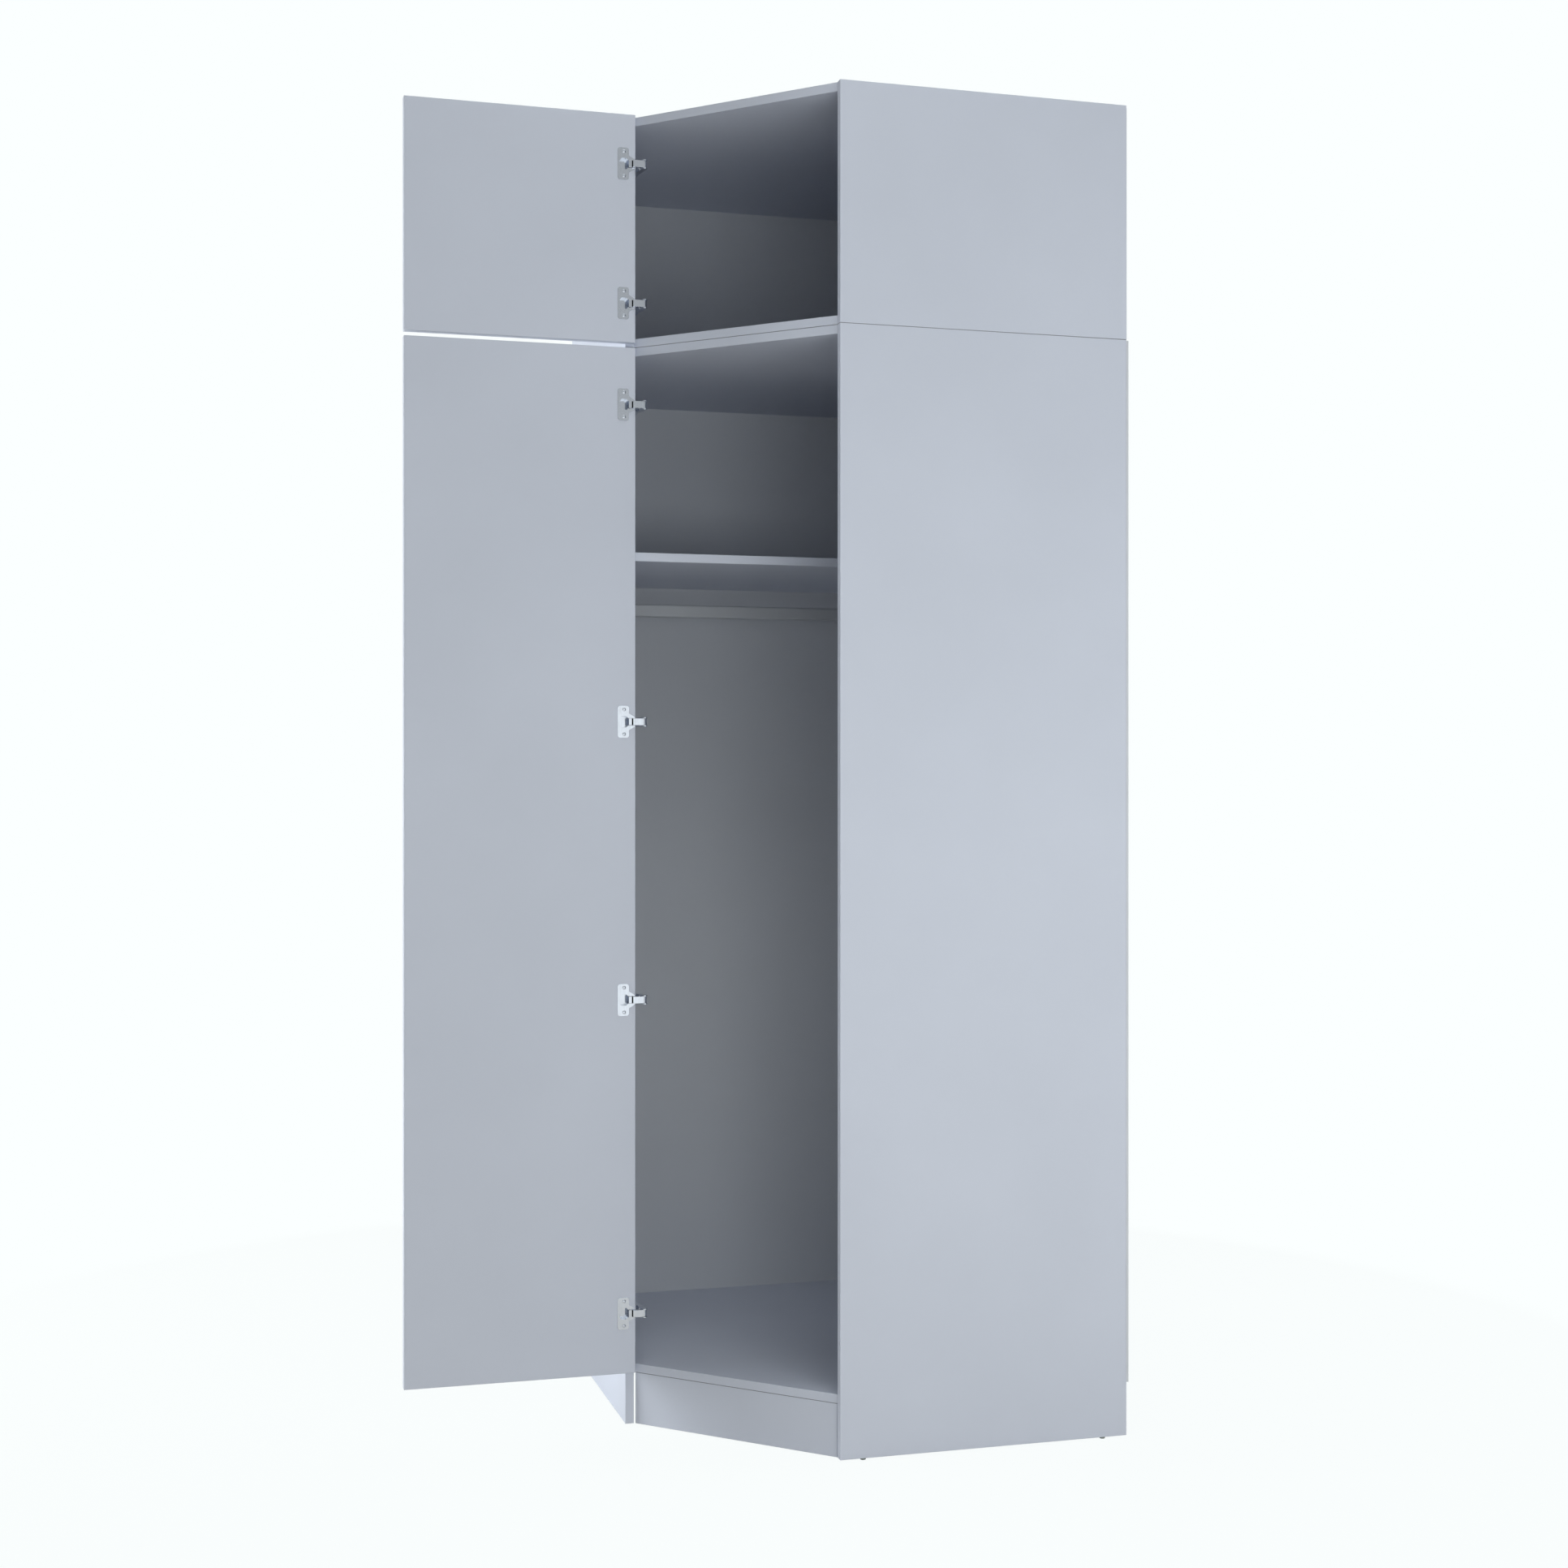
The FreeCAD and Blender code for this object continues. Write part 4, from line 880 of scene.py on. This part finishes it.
    def _head(self, nodes: Nodes, sizes: object) -> bpy.types.NodeSocket:
        """A dome on its flat seat, with the cross sunk in it.

        Args:
            nodes: the tree.
            sizes: the group input's sockets.

        Returns:
            The head's mesh socket.
        """
        ball = nodes.add("GeometryNodeMeshUVSphere",
                         {"Segments": self.sides, "Rings": self.rings, "Radius": 1.0})
        scale = nodes.vector(sizes["Head Radius"], sizes["Head Radius"], sizes["Head Height"])
        dome = nodes.add("GeometryNodeTransform")
        nodes.join(ball.outputs["Mesh"], dome.inputs["Geometry"])
        nodes.join(scale, dome.inputs["Scale"])
        across = nodes.maths("MULTIPLY", sizes["Cross Reach"], 2.0)
        deep = nodes.maths("MULTIPLY", sizes["Cross Depth"], 2.0)
        wide = nodes.maths("MULTIPLY", sizes["Head Radius"], 4.0)
        below = nodes.maths("MULTIPLY", sizes["Head Height"], -2.0)
        under = nodes.maths("MULTIPLY", sizes["Head Height"], 4.0)
        first = self._box(nodes, (across, sizes["Cross Width"], deep), sizes["Head Height"])
        second = self._box(nodes, (sizes["Cross Width"], across, deep), sizes["Head Height"])
        seat = self._box(nodes, (wide, wide, under), below)
        cut = nodes.add("GeometryNodeMeshBoolean", operation="DIFFERENCE", solver="EXACT")
        nodes.join(dome.outputs["Geometry"], cut.inputs["Mesh 1"])
        for tool in (first, second, seat):
            nodes.join(tool, cut.inputs["Mesh 2"])
        return cut.outputs["Mesh"]

    def _shank(self, nodes: Nodes, sizes: object) -> bpy.types.NodeSocket:
        """The shank, from its end to just inside the head.

        Args:
            nodes: the tree.
            sizes: the group input's sockets.

        Returns:
            The shank's mesh socket.
        """
        inside = nodes.maths("MULTIPLY", sizes["Head Height"], self.shank_in_head)
        length = nodes.maths("ADD", sizes["Shank Length"], inside)
        rod = nodes.add("GeometryNodeMeshCylinder", {"Vertices": self.sides})
        nodes.join(sizes["Shank Radius"], rod.inputs["Radius"])
        nodes.join(length, rod.inputs["Depth"])
        middle = nodes.maths("MULTIPLY_ADD", length, -0.5, inside)
        return self._lifted(nodes, rod.outputs["Mesh"], middle)

    def _smooth(self, nodes: Nodes, mesh: bpy.types.NodeSocket) -> bpy.types.NodeSocket:
        """Shade a mesh smooth, with its steep edges kept sharp.

        Args:
            nodes: the tree.
            mesh: the mesh's socket.

        Returns:
            The shaded mesh's socket.
        """
        angle = nodes.add("GeometryNodeInputMeshEdgeAngle")
        steep = nodes.maths("GREATER_THAN", angle.outputs["Unsigned Angle"], math.radians(self.sharp_angle))
        smooth = nodes.add("GeometryNodeSetShadeSmooth", {"Shade Smooth": True}, domain="FACE")
        sharp = nodes.add("GeometryNodeSetShadeSmooth", {"Shade Smooth": False}, domain="EDGE")
        nodes.join(mesh, smooth.inputs["Geometry"])
        nodes.join(smooth.outputs["Geometry"], sharp.inputs["Geometry"])
        nodes.join(steep, sharp.inputs["Selection"])
        return sharp.outputs["Geometry"]


@dataclass
class PressedSteel:
    """A copy of CAD nodes on one body, with the soft edges of pressed steel."""

    name: str
    sources: list[str]
    slot: Slot
    edge: float = 0.3 * MILLIMETRE
    steps: int = 3
    weld: float = 0.002 * MILLIMETRE
    flat_angle: float = 0.5
    sharp_angle: float = 40.0

    def build(self, material: bpy.types.Material) -> None:
        """Make the piece.

        Args:
            material: its finish.
        """
        body = frame["nodes"][self.sources[0]]["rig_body"]
        shape = bmesh.new()
        for node in self.sources:
            shape.from_mesh(frame["nodes"][node].data)
        bmesh.ops.remove_doubles(shape, verts=shape.verts, dist=self.weld)
        bmesh.ops.dissolve_limit(shape, angle_limit=math.radians(self.flat_angle), verts=shape.verts,
                                 edges=shape.edges)
        for face in shape.faces:
            face.smooth = True
            face.material_index = 0
        mesh = bpy.data.meshes.new(self.name + "_copy")
        shape.to_mesh(mesh)
        shape.free()
        mesh.materials.clear()
        mesh.materials.append(material)
        helper = bpy.data.objects.new(self.name + "_maker", mesh)
        bpy.context.scene.collection.objects.link(helper)
        soften = helper.modifiers.new("soft edges", "BEVEL")
        soften.limit_method = "ANGLE"
        soften.angle_limit = math.radians(self.sharp_angle)
        soften.width = self.edge
        soften.segments = self.steps
        flatten = helper.modifiers.new("flat faces", "WEIGHTED_NORMAL")
        flatten.mode = "FACE_AREA"
        flatten.weight = 100
        add_piece(self.name, settle(helper, self.name), body, self.sources)


@dataclass
class Carcass:
    """The boards, back sheets and doors of both cabinets, and the fixings that hold them."""

    palette: Palette
    groups: EffectGroups
    slanted: tuple[str, ...] = ("lower_top", "lower_bottom", "upper_top", "upper_bottom", "plinth")
    boards: tuple[str, ...] = (
        "lower_right_side", "lower_left_side", "upper_right_side", "upper_left_side",
        "lower_post_right", "lower_post_rear", "upper_post_right", "upper_post_rear",
        "rear_leg", "shelf_traverse", "hat_shelf",
    )
    backs: tuple[str, ...] = ("lower_rear_back", "lower_right_back", "upper_rear_back", "upper_right_back")
    doors: tuple[str, ...] = ("lower_door", "upper_door")
    zinc_nodes: tuple[str, ...] = ("cam_locks", "cam_bolts", "back_nails", "joining_bolts", "shelf_pins")

    def dress(self, zinc: bpy.types.Material) -> None:
        """Give every board and fixing its finish.

        Args:
            zinc: the plating of the fixings.
        """
        front_line = self._front_line()
        # Heights where boards meet flush; the board finish paints a line of shade there.
        cabinets_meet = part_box("upper_bottom")[0][2]
        plinth_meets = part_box("plinth")[1][2]
        for node in self.boards:
            seam = cabinets_meet if node.endswith("_side") else None
            self._finish(node, self.palette.board.material(self.groups, node, None, seam))
        for node in self.slanted:
            seam = plinth_meets if node in ("plinth", "lower_bottom") else cabinets_meet
            self._finish(node, self.palette.board.material(self.groups, node, front_line, seam))
        for node in self.backs:
            self._finish(node, self.palette.back.material(self.groups, node))
        for node in self.doors:
            self._finish(node, self.palette.door.material(self.groups, node))
        for node in self.zinc_nodes:
            self._finish(node, zinc)
        self._finish("dowels", self.palette.dowel.material(self.groups))
        self._finish("glides", self.palette.glide.material(self.groups))
        ScrewSet("bracket_screws", Slot.FASTENER).build(zinc)
        PressedSteel("wall_brackets_dressed", ["wall_brackets"], Slot.FASTENER).build(zinc)

    @staticmethod
    def _front_line() -> float:
        """The sum of x and y on the slanted front faces, from the lower bottom's own points."""
        points = frame["nodes"]["lower_bottom"].data.vertices
        return min(point.co.x + point.co.y for point in points)

    @staticmethod
    def _finish(node: str, material: bpy.types.Material) -> None:
        """Put one material on a CAD node.

        Args:
            node: the CAD node.
            material: its finish.
        """
        mesh = frame["nodes"][node].data
        mesh.materials.clear()
        mesh.materials.append(material)
        log.info("%s is dressed in %s", node, material.name)


@dataclass
class HangingRail:
    """The rail, its two sockets and their screws."""

    palette: Palette
    groups: EffectGroups
    socket_edge: float = 0.5 * MILLIMETRE

    def dress(self, zinc: bpy.types.Material) -> None:
        """Give the rail and its sockets softer edges and their finishes.

        Args:
            zinc: the plating of the screws.
        """
        paint = self.palette.rail.material(self.groups)
        plastic = self.palette.socket.material(self.groups)
        PressedSteel("clothes_rail_dressed", ["clothes_rail"], Slot.RAIL).build(paint)
        for side in ("left", "right"):
            node = "rail_socket_" + side
            PressedSteel(node + "_dressed", [node], Slot.SOCKET, self.socket_edge).build(plastic)
        ScrewSet("rail_socket_screws", Slot.FASTENER).build(zinc)


@dataclass
class DoorHinges:
    """The hinges of one door: cups and their screws, arms, bars, link plates and pins."""

    palette: Palette
    groups: EffectGroups
    door: str
    count: int
    cup_edge: float = 0.55 * MILLIMETRE
    arm_edge: float = 0.9 * MILLIMETRE
    bar_edge: float = 0.5 * MILLIMETRE
    plate_edge: float = 0.3 * MILLIMETRE
    pin_edge: float = 0.2 * MILLIMETRE
    shade_line_in: float = 5.8 * MILLIMETRE
    shade_line_width: float = 1.7 * MILLIMETRE

    def dress(self, nickel: bpy.types.Material) -> None:
        """Give the hinges' pieces pressed edges and nickel plating.

        Args:
            nickel: the plating, shared by both doors' hinges.
        """
        cups = ["%s_hinge_cup_%d" % (self.door, index + 1) for index in range(self.count)]
        arms = ["%s_hinge_arm_%d" % (self.door, index + 1) for index in range(self.count)]
        pieces = (
            ("_cups", cups, self.cup_edge),
            ("_arms", arms, self.arm_edge),
            ("_plates", [self.door + "_arm_links"], self.plate_edge),
            ("_rivets", [self.door + "_link_pins"], self.pin_edge),
            ("_pivots", [self.door + "_cup_pins"], self.pin_edge),
        )
        for suffix, sources, softness in pieces:
            PressedSteel(self.door + suffix, sources, Slot.HINGE, softness).build(nickel)
        # Painted shade: the bars' nickel gets a near-black band a few millimetres in from the door's edge,
        # standing in for the shadow where the bar steps.
        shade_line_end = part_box(self.door)[1][0] - self.shade_line_in
        shaded_bar_nickel = replace(self.palette.nickel, name=self.door + "_bar_nickel_painted_shade",
                         shade_band=(shade_line_end - self.shade_line_width, shade_line_end))
        bars = PressedSteel(self.door + "_bars", [self.door + "_cup_links"], Slot.HINGE, self.bar_edge)
        bars.build(shaded_bar_nickel.material(self.groups))
        ScrewSet(self.door + "_cup_screws", Slot.FASTENER).build(nickel)


@dataclass
class SideHardware:
    """The mounting plates on the left sides, their screws and the screws of the arms."""

    plate_edge: float = 0.6 * MILLIMETRE
    arm_shank: float = 13.9 * MILLIMETRE

    def dress(self, nickel: bpy.types.Material) -> None:
        """Give the plates pressed edges and plating.

        Args:
            nickel: the plating.
        """
        PressedSteel("hinge_plates_dressed", ["hinge_plates"], Slot.HINGE, self.plate_edge).build(nickel)
        ScrewSet("plate_screws", Slot.FASTENER).build(nickel)
        ScrewSet("arm_screws", Slot.FASTENER, shank_length=self.arm_shank).build(nickel)


@dataclass(frozen=True)
class SoftBox:
    """One soft light."""

    name: str
    place: tuple[float, float, float]
    aim: tuple[float, float, float]
    width: float
    height: float
    power: float
    spread: float = 180.0
    colour: Colour = linear(251, 255, 255)

    def hang(self) -> None:
        """Add the light to the scene."""
        lamp = bpy.data.lights.new(self.name, "AREA")
        lamp.shape = "RECTANGLE"
        lamp.size = self.width
        lamp.size_y = self.height
        lamp.energy = self.power
        lamp.spread = math.radians(self.spread)
        lamp.color = self.colour
        holder = bpy.data.objects.new(self.name, lamp)
        bpy.context.scene.collection.objects.link(holder)
        holder.location = self.place
        towards = Vector(self.aim) - Vector(self.place)
        holder.rotation_euler = towards.to_track_quat("-Z", "Y").to_euler()
        holder.visible_camera = False
        holder.visible_glossy = False
        log.info("light %s", self.name)


@dataclass
class Studio:
    """The floor, the white surroundings, the lights and the camera."""

    ambient: float = 0.045
    white: Colour = linear(251, 255, 255)
    floor_colour: Colour = (0.71, 0.685, 0.64)
    floor_roughness: float = 0.9
    floor_half: float = 30.0
    shadow_reach: float = 0.9
    shadow_fade: float = 1.1
    shadow_lift: float = 0.96
    room_radius: float = 6.0
    room_height: float = 9.0
    room_sides: int = 64
    room_glow: float = 0.46
    card_glow: float = 1.15
    card_half_width: float = 2.6
    card_top: float = 2.1
    lens: float = 50.08
    sensor: float = 36.0
    eye: tuple[float, float, float] = (-1.0431, -4.0475, 1.1791)
    turn: float = -15.88
    lights: list[SoftBox] = field(default_factory=lambda: [
        SoftBox("front_soft_box", (0.5, -4.3, 0.95), (0.5, 0.0, 1.0), 5.5, 1.2, 52.0),
        SoftBox("near_front_soft_box", (0.2, -2.5, 1.1), (0.1, 0.0, 1.1), 1.2, 0.5, 6.5),
        SoftBox("near_right_soft_box", (1.7, -2.2, 1.15), (0.2, -0.3, 1.1), 0.8, 0.6, 5.0),
        SoftBox("left_soft_box", (-3.2, 1.3, 1.2), (0.0, 0.5, 1.0), 1.6, 2.4, 130.0),
        SoftBox("right_soft_box", (3.4, -0.6, 1.3), (0.0, 0.0, 1.2), 1.6, 2.4, 52.0),
        SoftBox("top_soft_box", (-0.3, -2.0, 4.3), (0.0, 0.1, 0.8), 2.0, 2.0, 30.0),
        SoftBox("high_front_soft_box", (0.5, -3.8, 3.4), (0.0, 0.0, 1.2), 2.0, 1.5, 5.0),
        SoftBox("high_left_soft_box", (-1.8, -3.2, 3.3), (0.0, 0.0, 1.1), 1.5, 1.5, 4.0),
        SoftBox("back_soft_box", (0.8, 4.2, 1.5), (0.0, 0.4, 1.2), 3.0, 2.4, 45.0),
        SoftBox("overhead_soft_box", (0.2, 0.0, 4.8), (0.2, 0.0, 2.4), 1.2, 1.2, 4.2, 50.0),
    ])

    def build(self) -> None:
        """Set up everything round the wardrobe."""
        bpy.context.scene.view_settings.view_transform = "Standard"
        self._world()
        self._floor()
        self._room()
        for light in self.lights:
            light.hang()
        self._camera()

    @staticmethod
    def _seen_white(nodes: Nodes) -> bpy.types.NodeSocket:
        """One for rays that show the surroundings: from the camera, a mirror or glass.

        Args:
            nodes: the tree that asks.

        Returns:
            The mask's socket.
        """
        path = nodes.add("ShaderNodeLightPath")
        seen = nodes.maths("MAXIMUM", path.outputs["Is Camera Ray"], path.outputs["Is Glossy Ray"])
        return nodes.maths("MAXIMUM", seen, path.outputs["Is Transmission Ray"])

    def _world(self) -> None:
        """White where it is seen, and a dim even light elsewhere."""
        world = bpy.data.worlds.new("white_room")
        bpy.context.scene.world = world
        world.use_nodes = True
        nodes = Nodes(world.node_tree)
        light = world.node_tree.nodes["Background"]
        light.inputs["Color"].default_value = (1.0, 1.0, 1.0, 1.0)
        light.inputs["Strength"].default_value = self.ambient
        shown = nodes.add("ShaderNodeBackground", {"Color": opaque(self.white), "Strength": 1.0})
        mix = nodes.mixed(self._seen_white(nodes), light, shown)
        nodes.join(mix, world.node_tree.nodes["World Output"].inputs["Surface"])

    def _floor(self) -> None:
        """A pale floor that takes the shadow near the wardrobe and turns white away from it."""
        half = self.floor_half
        mesh = bpy.data.meshes.new("floor")
        mesh.from_pydata([(-half, -half, 0.0), (half, -half, 0.0), (half, half, 0.0), (-half, half, 0.0)],
                         [], [(0, 1, 2, 3)])
        floor = bpy.data.objects.new("floor", mesh)
        bpy.context.scene.collection.objects.link(floor)
        surface = Surface("pale_floor", {"Base Color": opaque(self.floor_colour),
                                         "Roughness": self.floor_roughness})
        nodes = surface.nodes
        length = nodes.add("ShaderNodeVectorMath", operation="LENGTH")
        nodes.join(surface.place, length.inputs[0])
        fade = nodes.add("ShaderNodeMapRange", {"From Min": self.shadow_reach,
                                                "From Max": self.shadow_reach + self.shadow_fade},
                         interpolation_type="SMOOTHSTEP")
        nodes.join(length.outputs["Value"], fade.inputs["Value"])
        glow = nodes.add("ShaderNodeEmission", {"Color": opaque(self.white), "Strength": 1.0})
        far = nodes.maths("MULTIPLY", fade.outputs["Result"], self._seen_white(nodes))
        path = nodes.add("ShaderNodeLightPath")
        near = nodes.maths("MULTIPLY", path.outputs["Is Camera Ray"], self.shadow_lift)
        mix = nodes.mixed(nodes.maths("MAXIMUM", far, near), surface.shader, glow)
        nodes.join(mix, surface.material.node_tree.nodes["Material Output"].inputs["Surface"])
        mesh.materials.append(surface.material)

    def _room(self) -> None:
        """A round grey room with a bright card in front, seen only in the gloss of the pieces."""
        shape = bmesh.new()
        bmesh.ops.create_cone(shape, cap_ends=False, segments=self.room_sides, radius1=self.room_radius,
                              radius2=self.room_radius, depth=self.room_height)
        bmesh.ops.translate(shape, vec=(0.0, 0.0, self.room_height / 2.0), verts=shape.verts)
        bmesh.ops.reverse_faces(shape, faces=shape.faces)
        mesh = bpy.data.meshes.new("gloss_room")
        shape.to_mesh(mesh)
        shape.free()
        material = bpy.data.materials.new("gloss_room")
        material.use_nodes = True
        nodes = Nodes(material.node_tree)
        place = nodes.parts(nodes.add("ShaderNodeTexCoord").outputs["Object"])
        narrow = nodes.maths("LESS_THAN", nodes.maths("ABSOLUTE", place["X"]), self.card_half_width)
        low = nodes.maths("LESS_THAN", place["Z"], self.card_top)
        front = nodes.maths("LESS_THAN", place["Y"], 0.0)
        card = nodes.maths("MULTIPLY", nodes.maths("MULTIPLY", narrow, low), front)
        glow = nodes.add("ShaderNodeEmission", {"Color": opaque(self.white)})
        strength = nodes.maths("MULTIPLY_ADD", card, self.card_glow - self.room_glow, self.room_glow)
        nodes.join(strength, glow.inputs["Strength"])
        nodes.join(glow.outputs[0], material.node_tree.nodes["Material Output"].inputs["Surface"])
        mesh.materials.append(material)
        room = bpy.data.objects.new("gloss_room", mesh)
        bpy.context.scene.collection.objects.link(room)
        room.visible_camera = False
        room.visible_diffuse = False
        room.visible_shadow = False
        room.visible_transmission = False

    def _camera(self) -> None:
        """The camera at the photograph's place."""
        data = bpy.data.cameras.new("camera")
        data.lens = self.lens
        data.sensor_width = self.sensor
        camera = bpy.data.objects.new("camera", data)
        bpy.context.scene.collection.objects.link(camera)
        camera.location = self.eye
        camera.rotation_euler = (math.radians(90.0), 0.0, math.radians(self.turn))
        bpy.context.scene.camera = camera


def main() -> None:
    """Dress the wardrobe and set up the studio."""
    logging.basicConfig(level=logging.INFO, format="%(message)s")
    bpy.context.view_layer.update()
    palette = Palette()
    groups = EffectGroups()
    nickel = palette.nickel.material(groups)
    zinc = palette.zinc.material(groups)
    Carcass(palette, groups).dress(zinc)
    HangingRail(palette, groups).dress(zinc)
    for door, count in (("lower_door", 4), ("upper_door", 2)):
        DoorHinges(palette, groups, door, count).dress(nickel)
    SideHardware().dress(nickel)
    Studio().build()


if __name__ == "__main__":
    main()
